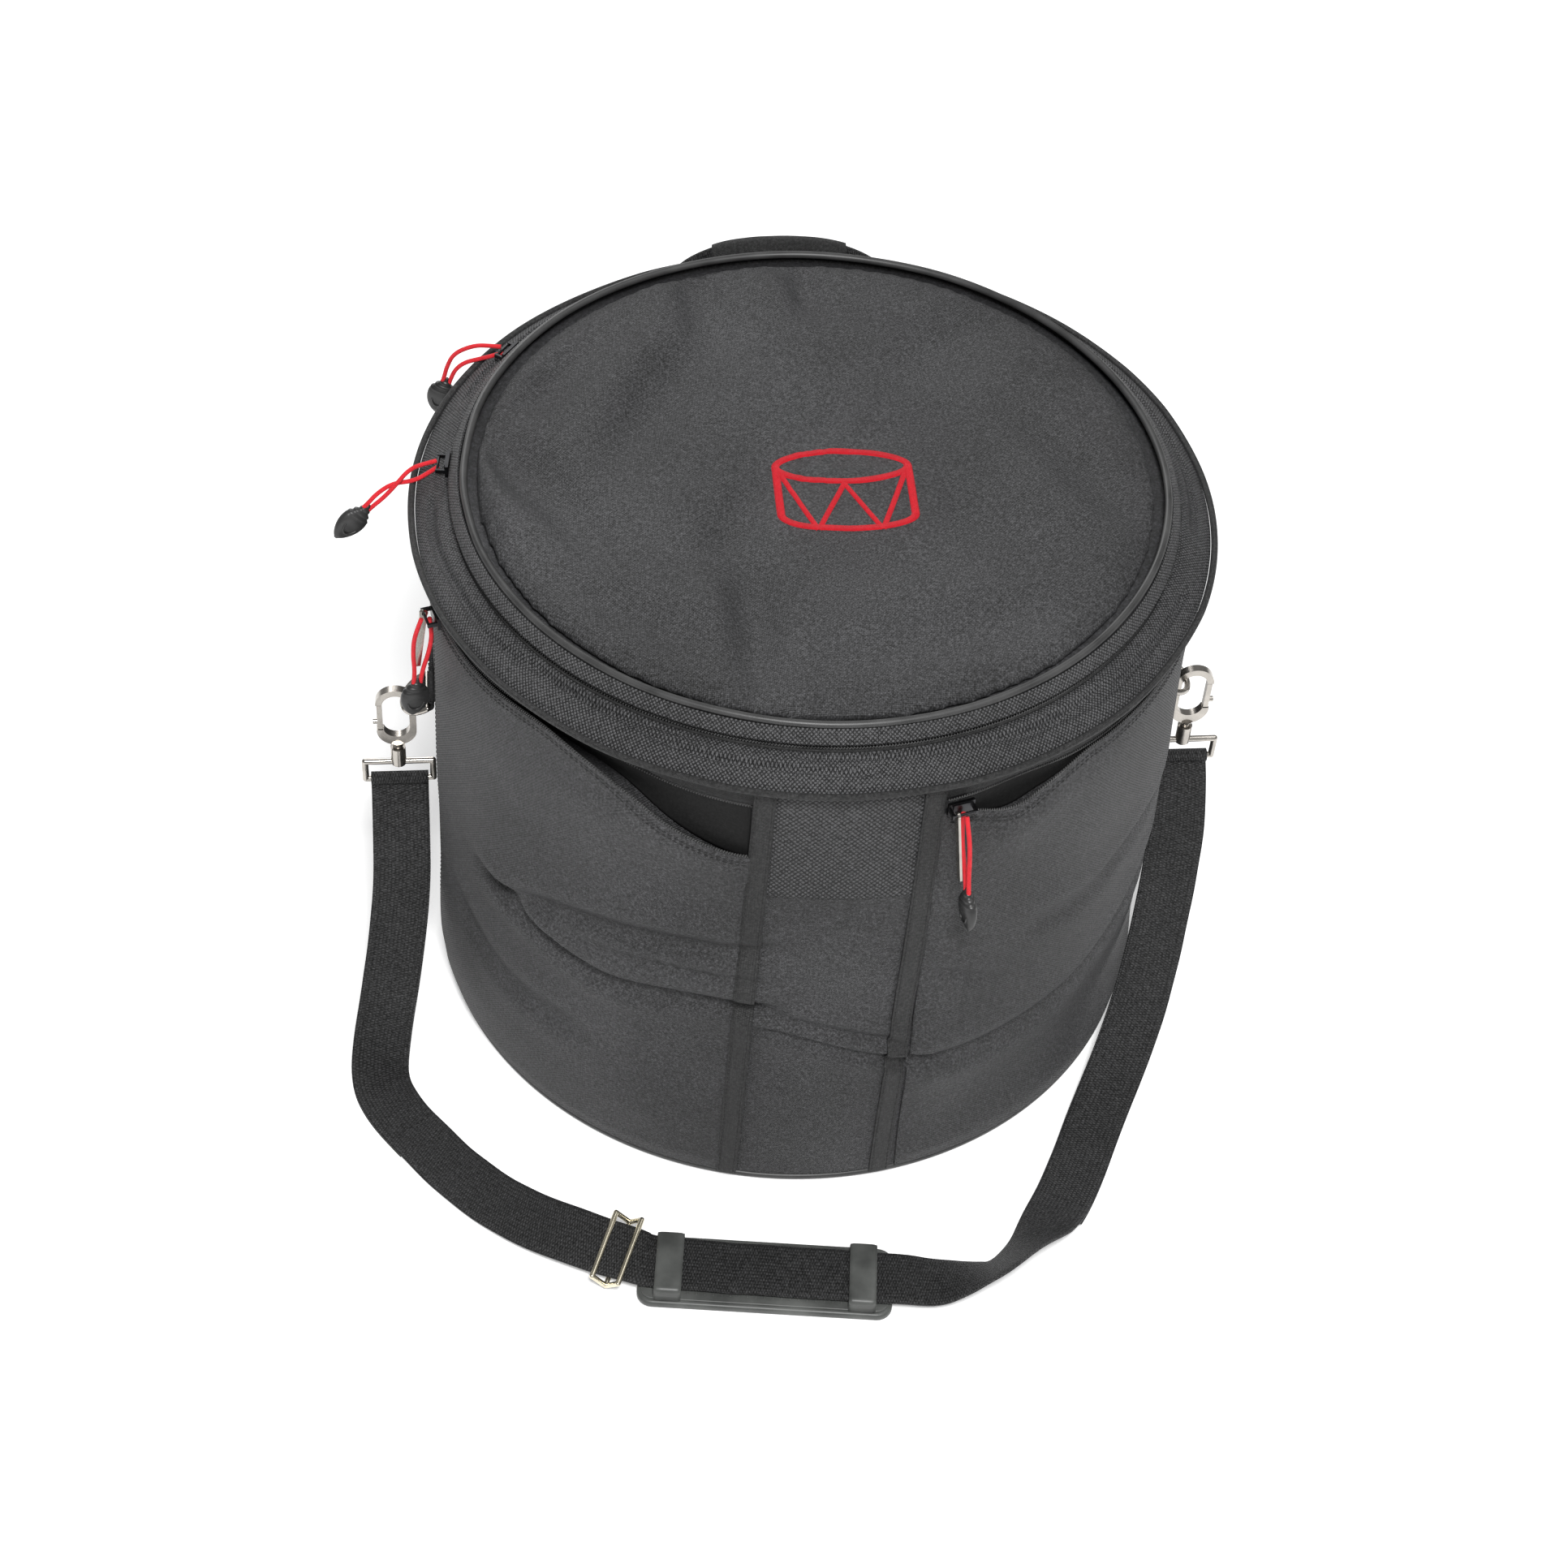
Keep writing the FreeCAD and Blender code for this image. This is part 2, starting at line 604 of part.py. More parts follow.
def hook_body():
    """A cast snap hook: an oval ring, open on its outer side where the gate closes it."""
    outline = stadium(12.0, HOOK_LOW, HOOK_HIGH, 2.6)
    jaw = stadium(8.0, HOOK_LOW + 7, HOOK_HIGH - 4.5, 4.0)
    gap = box((HOOK_AXIS + 7.0, -4, HOOK_LOW + 13), (HOOK_AXIS + 13, 4, HOOK_HIGH - 12))
    neck = Part.makeCone(3.0, 4.5, 5.0, FreeCAD.Vector(HOOK_AXIS, 0, HOOK_LOW - 3.6))
    pin = rod((HOOK_AXIS, 0, LOOP_TOP + 1.5), (HOOK_AXIS, 0, HOOK_LOW), 2.0)
    return fuse([outline.cut(jaw).cut(gap), neck, pin])


def hook_gate():
    """The sprung gate across the hook's opening, with a thumb stud on its outer face."""
    low = HOOK_LOW + 13.6
    high = HOOK_HIGH - 12.6
    bar = box((HOOK_AXIS + 8.2, -2.2, low), (HOOK_AXIS + 11.4, 2.2, high))
    stud = rod((HOOK_AXIS + 11.0, 0, low + 5), (HOOK_AXIS + 14.0, 0, low + 5), 1.8)
    return fuse([bar, stud])


def strap_loop():
    """The swivel's rectangular eye that the strap is sewn round, with its socket."""
    wire = size("loop_wire")
    half = size("webbing_wide") / 2 + 1.2 + wire
    left = HOOK_AXIS - half
    right = HOOK_AXIS + half
    shapes = []
    for level in (LOOP_LEVEL, LOOP_TOP):
        shapes.append(rod((left, 0, level), (right, 0, level), wire))
    for side in (left, right):
        shapes.append(rod((side, 0, LOOP_LEVEL), (side, 0, LOOP_TOP), wire))
        for level in (LOOP_LEVEL, LOOP_TOP):
            shapes.append(Part.makeSphere(wire, FreeCAD.Vector(side, 0, level)))
    shapes.append(rod((HOOK_AXIS, 0, LOOP_TOP - 1), (HOOK_AXIS, 0, HOOK_LOW - 4.0), 4.6))
    socket = rod((HOOK_AXIS, 0, LOOP_TOP + 1), (HOOK_AXIS, 0, HOOK_LOW), 2.05)
    return fuse(shapes).cut(socket)


def strap_fold():
    """Webbing wrapped round the eye's lower bar, open where the strap runs on."""
    wire = size("loop_wire")
    half = size("webbing_wide") / 2
    outer = rod((HOOK_AXIS - half, 0, LOOP_LEVEL), (HOOK_AXIS + half, 0, LOOP_LEVEL), wire + 2.3)
    hole = rod((HOOK_AXIS - 30, 0, LOOP_LEVEL), (HOOK_AXIS + 30, 0, LOOP_LEVEL), wire + 0.2)
    under = box((HOOK_AXIS - 30, -10, LOOP_LEVEL - 10), (HOOK_AXIS + 30, 10, LOOP_LEVEL))
    under.rotate(FreeCAD.Vector(HOOK_AXIS, 0, LOOP_LEVEL), FreeCAD.Vector(1, 0, 0), -42)
    return outer.cut(hole).cut(under)


def make_side_hardware():
    """The right side is built first, and the left is the same pieces turned half round."""
    half_turn = FreeCAD.Placement(FreeCAD.Vector(), about_z(180.0))
    for label, maker in (("d_ring", d_ring), ("hook", hook_body), ("hook_gate", hook_gate)):
        shaped(f"{label}_right", maker())
        shaped(f"{label}_left", maker(), half_turn)
    for label, maker in (("ring_tabs", ring_tab), ("strap_loops", strap_loop)):
        shape = maker()
        shaped(label, group([shape, shape.transformed(half_turn.Matrix)]))


def make_strap():
    """The webbing, its folded ends, the tri-glide and the shoulder pad."""
    wide = size("webbing_wide")
    gauge = size("webbing_gauge")
    stations = curve_stations(STRAP_ROUTE, 3)
    shaped("strap_webbing", ribbon(stations[1:-1], wide, gauge))
    fold = strap_fold()
    mirrored = fold.mirror(FreeCAD.Vector(), FreeCAD.Vector(1, 0, 0))
    for side, span, wrap in (("left", stations[2:9], mirrored), ("right", stations[-9:-2], fold)):
        turnback = ribbon(span, wide, gauge * 0.8, -gauge - 0.2)
        shaped(f"strap_end_{side}", group([wrap, turnback]))
    shaped("tri_glide", tri_glide(wide), local_frame(GLIDE_PLACE, GLIDE_HEADING, GLIDE_ROLL))
    shaped("shoulder_pad", shoulder_pad(wide), local_frame(PAD_PLACE, PAD_HEADING, 0.0))


def local_frame(place, heading, roll):
    """+X along the strap, +Y across it towards the bag, +Z up before the roll."""
    turn = about_z(heading).multiply(FreeCAD.Rotation(FreeCAD.Vector(1, 0, 0), roll))
    return FreeCAD.Placement(FreeCAD.Vector(*place), turn)


def tri_glide(wide):
    """Two bars over the webbing and one under it, joined by rails past its edges."""
    half = wide / 2 + 3.8
    over = 4.0
    shapes = [rod((0, -half, -over), (0, half, -over), 1.5)]
    for along in (-8.0, 8.0):
        shapes.append(rod((along, -half, over), (along, half, over), 1.6))
        for side in (-1, 1):
            shapes.append(rod((along, side * half, over), (0, side * half, -over), 1.6))
            shapes.append(Part.makeSphere(1.6, FreeCAD.Vector(along, side * half, over)))
    for side in (-1, 1):
        shapes.append(Part.makeSphere(1.6, FreeCAD.Vector(0, side * half, -over)))
    return fuse(shapes)


def shoulder_pad(wide):
    """A rubber pad that lies under the webbing and holds it with two bridges."""
    long, broad, thick = PAD_SIZE
    slab = box((-long / 2, -broad / 2, 0), (long / 2, broad / 2, thick))
    corners = [edge for edge in slab.Edges if abs(edge.tangentAt(edge.FirstParameter).z) > 0.9]
    shapes = [slab.makeFillet(9.0, corners)]
    low = thick - 0.5
    high = thick + 8.0
    half_frame = wide / 2 + 4.0
    half_tunnel = wide / 2 + 2.2
    from_end = 18.0
    for along in (-long / 2 + from_end, long / 2 - from_end):
        frame = box((along - 8, -half_frame, low), (along + 8, half_frame, high))
        tunnel = box((along - 20, -half_tunnel, thick), (along + 20, half_tunnel, high - 2))
        shapes.append(frame.cut(tunnel))
    return fuse(shapes)


def make_handle():
    """A webbing carry handle behind the bag, with a wrapped grip."""
    patches = []
    for centre in (71.0, 109.0):
        patches.append(band_shape("trim_inner", "panel_outer", "handle_patch_low",
                                  "handle_patch_high", centre - 4.5, 9.0))
    shaped("handle_patches", group(patches))
    half = [(73.0, 212.0, 320.0), (73.0, 219.0, 327.0), (66.0, 233.5, 339.0), (44.0, 238.0, 350.0),
            (18.0, 240.0, 354.0)]
    route = half + [(-x, y, z) for x, y, z in reversed(half)]
    stations = curve_stations([(x, y, z, 0) for x, y, z in route], 4)
    gauge = 2.4
    tall = 20.0
    outlines = []
    for x, y, z, _ in stations[2:-2]:
        corners = []
        for side, level in ((-1, -1), (1, -1), (1, 1), (-1, 1)):
            corners.append(FreeCAD.Vector(x, y + side * gauge / 2, z + level * tall / 2 - 8))
        outlines.append(Part.makePolygon(corners + [corners[0]]))
    webbing = Part.makeLoft(outlines, True, True)
    shaped("handle_webbing", webbing)
    sleeve = box((-42, 235.6, 334.5), (42, 244.4, 357.8))
    long_edges = [edge for edge in sleeve.Edges if abs(edge.tangentAt(edge.FirstParameter).x) > 0.9]
    sleeve = sleeve.makeFillet(3.4, long_edges)
    shaped("handle_grip", sleeve.cut(webbing))


def check_and_export():
    document.recompute()
    for item in document.Objects:
        state = set(item.State) & {"Invalid", "Error"}
        if state:
            raise RuntimeError(f"{item.Label} did not build: {sorted(state)}")
    labels = [piece.Label for piece in pieces]
    if len(set(labels)) != len(labels):
        raise RuntimeError("two sub-parts have the same name")
    for piece in pieces:
        if piece.Shape.isNull() or not piece.Shape.isValid():
            raise RuntimeError(f"{piece.Label} has no valid shape")
    os.makedirs("parts", exist_ok=True)
    for piece in pieces:
        piece.Shape.exportStep(os.path.join("parts", f"{piece.Label}.step"))
    print(len(pieces), "sub-parts written")


make_base()
make_wall()
make_pockets()
make_main_zip()
make_lid()
make_emblem()
make_sliders()
make_side_hardware()
make_strap()
make_handle()
check_and_export()
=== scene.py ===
"""The looks of a padded, cylindrical drum bag: nylon walls and lid, two zipped pockets,
a webbing shoulder strap on swivel hooks, red looped zip pulls and a carry handle.

Lengths are in metres unless a name ends in _mm, angles are in degrees round the bag
from +X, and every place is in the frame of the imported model."""
import math

import bmesh
import bpy
import numpy as np
from mathutils import Matrix, Vector
from mathutils.bvhtree import BVHTree


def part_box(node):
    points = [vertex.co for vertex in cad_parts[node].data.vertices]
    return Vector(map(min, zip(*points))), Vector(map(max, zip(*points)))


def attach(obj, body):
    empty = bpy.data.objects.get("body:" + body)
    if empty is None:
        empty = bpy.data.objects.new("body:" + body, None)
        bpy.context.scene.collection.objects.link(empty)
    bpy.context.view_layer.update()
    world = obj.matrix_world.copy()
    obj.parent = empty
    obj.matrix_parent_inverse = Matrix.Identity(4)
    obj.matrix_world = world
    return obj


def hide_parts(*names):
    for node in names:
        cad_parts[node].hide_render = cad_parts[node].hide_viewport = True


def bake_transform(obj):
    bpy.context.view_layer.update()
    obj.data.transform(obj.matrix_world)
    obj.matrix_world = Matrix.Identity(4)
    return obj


MM = 0.001
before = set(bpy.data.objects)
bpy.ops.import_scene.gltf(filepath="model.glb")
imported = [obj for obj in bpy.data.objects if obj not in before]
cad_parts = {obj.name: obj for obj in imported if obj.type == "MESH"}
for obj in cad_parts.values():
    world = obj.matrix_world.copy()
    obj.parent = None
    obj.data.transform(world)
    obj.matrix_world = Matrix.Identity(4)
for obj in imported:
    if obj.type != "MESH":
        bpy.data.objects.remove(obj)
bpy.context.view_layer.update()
scene = bpy.context.scene


# ---------------------------------------------------------------- sizes from the frame

def reach(node):
    """The outer radius of a node that runs round the bag's axis."""
    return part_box(node)[1].x


def low(node):
    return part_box(node)[0].z


def high(node):
    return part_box(node)[1].z


WALL_RADIUS = reach("wall_panel")
WALL_LOW = low("wall_panel")
WALL_HIGH = high("wall_panel")
FOAM_RADIUS = reach("wall_foam")
LINING_RADIUS = reach("lining")
POCKET_RADIUS = -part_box("pocket_left")[0].x / math.cos(math.radians(10.0))
POCKET_LOW = low("pocket_left")
POCKET_HIGH = high("pocket_left")
TAPE_LOW = low("pocket_tape_left")
TAPE_HIGH = high("pocket_tape_left")
RIDGE_RADIUS = reach("ridge_piping")
LID_TOP = high("lid_panel")
POLE = 0.4 * MM  # how close to the bag's axis a disc's mesh starts
LEFT_POCKET = (190.0, 254.9)
RIGHT_POCKET = (285.1, 350.0)
BACK_SEAM = (87.4, 92.6)
ZIP_SPAN = (108.0, 432.0)
HINGE_SPAN = (72.0, 108.0)
LEFT_SLIDER = 196.0
RIGHT_SLIDER = 285.3


# ---------------------------------------------------------------- camera

CAMERA_EYE = Vector((-0.1848, -1.2759, 1.4943))
CAMERA_TARGET = Vector((-0.0054, 0.0008, 0.1140))
CAMERA_ROLL = 4.2
CAMERA_LENS_MM = 68.94


def make_camera():
    """The photograph's viewpoint, high in front, with the camera rolled slightly."""
    data = bpy.data.cameras.new("camera")
    data.lens = CAMERA_LENS_MM
    data.sensor_width = 36.0
    camera = bpy.data.objects.new("camera", data)
    scene.collection.objects.link(camera)
    back = (CAMERA_EYE - CAMERA_TARGET).normalized()
    level = Vector((0, 0, 1)).cross(back).normalized()
    upward = back.cross(level)
    roll = math.radians(CAMERA_ROLL)
    right = level * math.cos(roll) + upward * math.sin(roll)
    up = upward * math.cos(roll) - level * math.sin(roll)
    camera.matrix_world = Matrix.Translation(CAMERA_EYE) @ Matrix((right, up,
                                                                   back)).transposed().to_4x4()
    scene.camera = camera


# ---------------------------------------------------------------- materials

def math_node(tree, operation, first, second=None):
    """A Math node's output; each input is a number or another node's output."""
    node = tree.nodes.new("ShaderNodeMath")
    node.operation = operation
    for socket, value in zip(node.inputs, (first, second)):
        if value is None:
            continue
        if isinstance(value, bpy.types.NodeSocket):
            tree.links.new(value, socket)
        else:
            socket.default_value = value
    return node.outputs[0]


def add(tree, first, second):
    return math_node(tree, "ADD", first, second)


def less(tree, first, second):
    return math_node(tree, "SUBTRACT", first, second)


def times(tree, first, second):
    return math_node(tree, "MULTIPLY", first, second)


def noise_node(tree, vector, scale, detail=3.0):
    node = tree.nodes.new("ShaderNodeTexNoise")
    node.inputs["Scale"].default_value = scale
    node.inputs["Detail"].default_value = detail
    tree.links.new(vector, node.inputs["Vector"])
    return node.outputs["Fac"]


def ramp_node(tree, factor, stops):
    """Colours over a factor; each stop is its place and its colour."""
    node = tree.nodes.new("ShaderNodeValToRGB")
    elements = node.color_ramp.elements
    while len(elements) < len(stops):
        elements.new(0.5)
    for element, (place, colour) in zip(elements, stops):
        element.position = place
        element.color = (*colour, 1)
    tree.links.new(factor, node.inputs["Fac"])
    return node.outputs["Color"]


def bump_chain(tree, shader, heights):
    """Bumps of several heights, each one over the last: (height, strength, metres)."""
    normal = None
    for height, strength, distance in heights:
        node = tree.nodes.new("ShaderNodeBump")
        node.inputs["Strength"].default_value = strength
        node.inputs["Distance"].default_value = distance
        tree.links.new(height, node.inputs["Height"])
        if normal is not None:
            tree.links.new(normal, node.inputs["Normal"])
        normal = node.outputs["Normal"]
    tree.links.new(normal, shader.inputs["Normal"])


def start_material(name, **sockets):
    """A material with its shader's plain values set, and nothing linked yet."""
    material = bpy.data.materials.new(name)
    material.use_nodes = True
    tree = material.node_tree
    shader = tree.nodes["Principled BSDF"]
    for label, value in sockets.items():
        socket = shader.inputs[label.replace("_", " ")]
        socket.default_value = (*value, 1) if isinstance(value, tuple) else value
    return material, tree, shader


def cloth_axes(tree, pitch, by_uv):
    """Weave coordinates counted in threads, and the object's own coordinates."""
    coordinates = tree.nodes.new("ShaderNodeTexCoord")
    split = tree.nodes.new("ShaderNodeSeparateXYZ")
    tree.links.new(coordinates.outputs["UV" if by_uv else "Object"], split.inputs[0])
    first = math_node(tree, "DIVIDE", split.outputs["X"], pitch)
    second = math_node(tree, "DIVIDE", split.outputs["Y"], pitch)
    return first, second, coordinates.outputs["Object"]


def half_wave(tree, value):
    """The height of a rounded thread, one for each whole number."""
    return math_node(tree, "ABSOLUTE", math_node(tree, "SINE", times(tree, value, math.pi)))


def plain_weave(tree, first, second):
    """One thread over, one under."""
    wave_one, wave_two = [math_node(tree, "SINE", times(tree, thread, math.pi))
                          for thread in (first, second)]
    over = math_node(tree, "GREATER_THAN", times(tree, wave_one, wave_two), 0.0)
    under = less(tree, 1.0, over)
    return add(
        tree,
        times(tree, over, math_node(tree, "ABSOLUTE", wave_one)),
        times(tree, under, math_node(tree, "ABSOLUTE", wave_two)))


def diamond_weave(tree, first, second):
    """Small raised diamonds between crossing diagonal grooves."""
    one_way = half_wave(tree, add(tree, first, second))
    other_way = half_wave(tree, less(tree, first, second))
    return math_node(tree, "POWER", times(tree, one_way, other_way), 0.6)


def rib_weave(tree, first, second):
    """Ribs across a webbing, broken into short steps by its lengthwise threads."""
    step = times(tree, math_node(tree, "FLOOR", times(tree, second, 0.7)), 0.5)
    ribs = half_wave(tree, add(tree, first, step))
    rows = half_wave(tree, times(tree, second, 0.7))
    return times(tree, ribs, math_node(tree, "POWER", rows, 0.4))


def worn_edges(tree, least, strength):
    """Nothing on flats and hollows, and more the sharper an edge stands out."""
    geometry = tree.nodes.new("ShaderNodeNewGeometry")
    edges = times(tree, less(tree, geometry.outputs["Pointiness"], least), strength)
    return math_node(tree, "MAXIMUM", edges, 0.0)


WEAVES = {"plain": plain_weave, "diamond": diamond_weave, "ribs": rib_weave}


def fabric(name, dark, light, weave, pitch_mm, depth_mm, roughness=0.62, sheen=0.02,
           by_uv=True, coarse=None, wear=0.35):
    """Woven cloth: thread bump, uneven dye, a sheen, and edges worn paler."""
    material, tree, shader = start_material(
        name, Roughness=roughness, Sheen_Weight=sheen, Sheen_Roughness=0.45,
        Sheen_Tint=(0.75, 0.76, 0.8), Specular_IOR_Level=0.32)
    first, second, place = cloth_axes(tree, pitch_mm * MM, by_uv)
    threads = WEAVES[weave](tree, first, second)
    patches = noise_node(tree, place, 9.0, 4.0)
    grain = noise_node(tree, place, 700.0, 2.0)
    mixed = add(tree, times(tree, patches, 0.9),
                      times(tree, less(tree, grain, 0.5), 2.4))
    mixed = add(tree, mixed, times(tree, less(tree, threads, 0.5), 0.35))
    heights = [(noise_node(tree, place, 60.0, 3.0), 0.25, 0.8 * MM), (threads, 0.9, depth_mm * MM)]
    if coarse:
        coarse_pitch = pitch_mm / coarse
        large = diamond_weave(tree, times(tree, first, coarse_pitch),
                              times(tree, second, coarse_pitch))
        heights.append((large, 1.0, 0.7 * MM))
        mixed = add(tree, mixed, times(tree, less(tree, large, 0.5), 1.3))
    mixed = add(tree, mixed, worn_edges(tree, 0.52, 6.0 * wear))
    colour = ramp_node(tree, mixed,
                       ((0.1, dark), (0.8, light), (1.0, tuple(c * 1.5 for c in light))))
    tree.links.new(colour, shader.inputs["Base Color"])
    bump_chain(tree, shader, heights)
    return material


def cord_material(name, dark, light, pitch_mm):
    """Braided round cord: strands that cross on the diagonal."""
    material, tree, shader = start_material(
        name, Roughness=0.6, Sheen_Weight=0.05, Sheen_Roughness=0.4, Specular_IOR_Level=0.22)
    first, second, place = cloth_axes(tree, pitch_mm * MM, True)
    braid = diamond_weave(tree, first, second)
    mixed = add(tree, times(tree, braid, 0.6),
                      times(tree, noise_node(tree, place, 400.0), 0.4))
    tree.links.new(ramp_node(tree, mixed, ((0.15, dark), (0.8, light))),
                   shader.inputs["Base Color"])
    bump_chain(tree, shader, [(braid, 0.8, 0.35 * MM)])
    return material


def metal(name, colour, roughness, scratch=0.25):
    """Plated metal with faint scratches and dulled patches."""
    material, tree, shader = start_material(name, Metallic=1.0)
    place = tree.nodes.new("ShaderNodeTexCoord").outputs["Object"]
    stretch = tree.nodes.new("ShaderNodeMapping")
    stretch.inputs["Scale"].default_value = (1.0, 1.0, 0.08)
    tree.links.new(place, stretch.inputs["Vector"])
    lines = noise_node(tree, stretch.outputs[0], 1800.0, 2.0)
    clouds = noise_node(tree, place, 90.0, 4.0)
    rough = add(tree, times(tree, clouds, 0.2), roughness - 0.1)
    tree.links.new(rough, shader.inputs["Roughness"])
    dull = tuple(c * 0.72 for c in colour)
    tree.links.new(ramp_node(tree, clouds, ((0.3, dull), (0.6, colour))),
                   shader.inputs["Base Color"])
    bump_chain(tree, shader, [(lines, scratch, 0.05 * MM)])
    return material


def rubber(name, dark, light, roughness, grain_scale=900.0):
    """Moulded rubber with a fine grain and scuffed edges."""
    material, tree, shader = start_material(name, Specular_IOR_Level=0.4)
    place = tree.nodes.new("ShaderNodeTexCoord").outputs["Object"]
    grain = noise_node(tree, place, grain_scale, 2.0)
    clouds = noise_node(tree, place, 45.0, 5.0)
    mixed = add(tree, clouds, worn_edges(tree, 0.53, 3.0))
    tree.links.new(ramp_node(tree, mixed, ((0.3, dark), (0.8, light))),
                   shader.inputs["Base Color"])
    rough = add(tree, times(tree, clouds, 0.25), roughness - 0.12)
    tree.links.new(rough, shader.inputs["Roughness"])
    bump_chain(tree, shader, [(grain, 0.35, 0.12 * MM)])
    return material


def grey(value, blue=1.0):
    return (value, value, value * blue)


def make_materials():
    """One material for each slot of the record, and a few for parts of them."""
    red_thread = cord_material("red_thread", (0.42, 0.003, 0.008), (0.80, 0.012, 0.03), 0.5)
    red_cord = cord_material("red_cord", (0.45, 0.008, 0.012), (0.85, 0.03, 0.045), 1.1)
    nickel = metal("nickel", (0.52, 0.49, 0.45), 0.24)
    return {
        "shell": fabric("shell_nylon", grey(0.016), grey(0.052, 1.04), "plain", 0.95, 0.35),
        "lid_top": fabric("lid_nylon", grey(0.016), grey(0.054, 1.04), "plain", 0.95, 0.35,
                          by_uv=False),
        "band": fabric("band_twill", grey(0.014), grey(0.072, 1.03), "plain", 0.7, 0.2,
                       roughness=0.5, coarse=2.4),
        "panel_weave": fabric("panel_weave", grey(0.008), grey(0.060, 1.03), "plain", 0.7, 0.2,
                              roughness=0.55, coarse=3.2),
        "pocket_fabric": fabric("pocket_nylon", grey(0.016), grey(0.052, 1.04), "plain",
                                0.95, 0.35),
        # Near-black sheet colour: painted shade for the shadow inside the pocket mouths.
        "pocket_shade_sheet": fabric("pocket_shade_sheet", grey(0.002), grey(0.006), "plain", 0.5, 0.12,
                                 roughness=0.8, sheen=0.0),
        "base_fabric": fabric("base_nylon", grey(0.012), grey(0.028), "plain", 1.2, 0.4,
                              by_uv=False),
        "lining": fabric("lining_taffeta", grey(0.020), grey(0.045, 1.06), "plain", 0.5, 0.12,
                         roughness=0.5),
        "foam": fabric("foam", grey(0.10), grey(0.16), "plain", 0.9, 0.15, sheen=0.0),
        "board": fabric("board", (0.16, 0.12, 0.08), (0.26, 0.20, 0.14), "plain", 0.8, 0.1,
                        sheen=0.0),
        "piping": rubber("piping_vinyl", grey(0.022), grey(0.06), 0.42),
        "binding": fabric("binding_tape", grey(0.010), grey(0.030), "ribs", 0.9, 0.3,
                          roughness=0.6),
        "zip_tape": fabric("zip_tape", grey(0.010), grey(0.026), "ribs", 0.8, 0.25),
        "zip_coil": rubber("zip_coil_nylon", grey(0.030), grey(0.10), 0.32),
        "webbing": fabric("webbing", grey(0.009), grey(0.036, 1.02), "ribs", 1.6, 0.7,
                          roughness=0.62),
        "grip": fabric("grip_nylon", grey(0.014), grey(0.034), "plain", 0.9, 0.3),
        "stitching": cord_material("black_thread", grey(0.012), grey(0.05), 0.35),
        "slider_metal": metal("slider_enamel", (0.055, 0.055, 0.058), 0.34),
        "tab_metal": nickel,
        "hook_metal": nickel,
        "glide_metal": metal("glide_plate", (0.78, 0.72, 0.56), 0.24),
        "pull_cord": red_cord,
        "pull_rubber": rubber("tip_rubber", grey(0.010), grey(0.035), 0.36),
        "pad_rubber": rubber("pad_rubber", (0.042, 0.044, 0.042), (0.115, 0.120, 0.114), 0.42),
        "embroidery": red_thread,
    }


MATERIALS = make_materials()


# ---------------------------------------------------------------- mesh helpers

def grid_part(points, first, second, wrap_rows=False, wrap_columns=False, caps=False):
    """Faces over a grid of points, with cloth coordinates first (rows) and second (columns)."""
    rows, columns = points.shape[:2]
    row_count = rows if wrap_rows else rows - 1
    column_count = columns if wrap_columns else columns - 1
    i, j = np.meshgrid(np.arange(row_count), np.arange(column_count), indexing="ij")
    i, j = i.ravel(), j.ravel()
    i_next, j_next = i + 1, j + 1
    corners = [(i, j), (i_next, j), (i_next, j_next), (i, j_next)]
    faces = np.stack([(a % rows) * columns + b % columns for a, b in corners], axis=1)
    uvs = np.stack([np.stack([first[a], second[b]], axis=-1) for a, b in corners], axis=1)
    faces = [tuple(face) for face in faces.tolist()]
    uvs = uvs.reshape(-1, 2).tolist()
    if caps:
        for row, order in ((0, range(columns)), (rows - 1, range(columns - 1, -1, -1))):
            faces.append(tuple(row * columns + column for column in order))
            uvs += [(first[row], second[column]) for column in order]
    return points.reshape(-1, 3), faces, uvs


def build(name, parts, look, body, replaces=()):
    """One piece from mesh parts, riding on a body. Its slot is its look's name."""
    verts, faces, uvs = [], [], []
    for points, part_faces, part_uvs in parts:
        start = len(verts)
        verts += [tuple(point) for point in np.asarray(points).tolist()]
        faces += [tuple(start + corner for corner in face) for face in part_faces]
        uvs += part_uvs
    mesh = bpy.data.meshes.new(name)
    mesh.from_pydata(verts, [], faces)
    layer = mesh.uv_layers.new(name="cloth")
    layer.data.foreach_set("uv", np.array(uvs, dtype=np.float32).ravel())
    mesh.polygons.foreach_set("use_smooth", [True] * len(mesh.polygons))
    mesh.update()
    piece = bpy.data.objects.new(name, mesh)
    scene.collection.objects.link(piece)
    mesh.materials.append(MATERIALS[look])
    if body:
        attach(piece, body)
    if replaces:
        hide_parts(*replaces)
    return piece


SEAM_STITCH = 2.6 * MM


def lengths_along(points):
    """The distance along a line at each of its points."""
    steps = np.linalg.norm(np.diff(points, axis=0), axis=1)
    return np.concatenate([[0.0], np.cumsum(steps)])


def sampled(line, distance, at):
    """The places on a line at some distances along it."""
    return np.stack([np.interp(at, distance, line[:, axis]) for axis in range(line.shape[1])],
                    axis=-1)


def refine(points, step):
    """The same line with extra points, so that none are further apart than step."""
    points = np.asarray(points, float)
    result = [points[0]]
    for start, end in zip(points[:-1], points[1:]):
        count = max(1, math.ceil(np.linalg.norm(end - start) / step))
        result += [start + (end - start) * k / count for k in range(1, count + 1)]
    return np.array(result)


def smoothstep(start, end, value):
    """0 up to start, 1 from end on, and smooth between them."""
    share = np.clip((value - start) / (end - start), 0.0, 1.0)
    return share * share * (3.0 - 2.0 * share)


def hump(value, centre, width):
    """1 at the centre, falling away smoothly to nothing on both sides."""
    return np.exp(-(((value - centre) / width) ** 2))


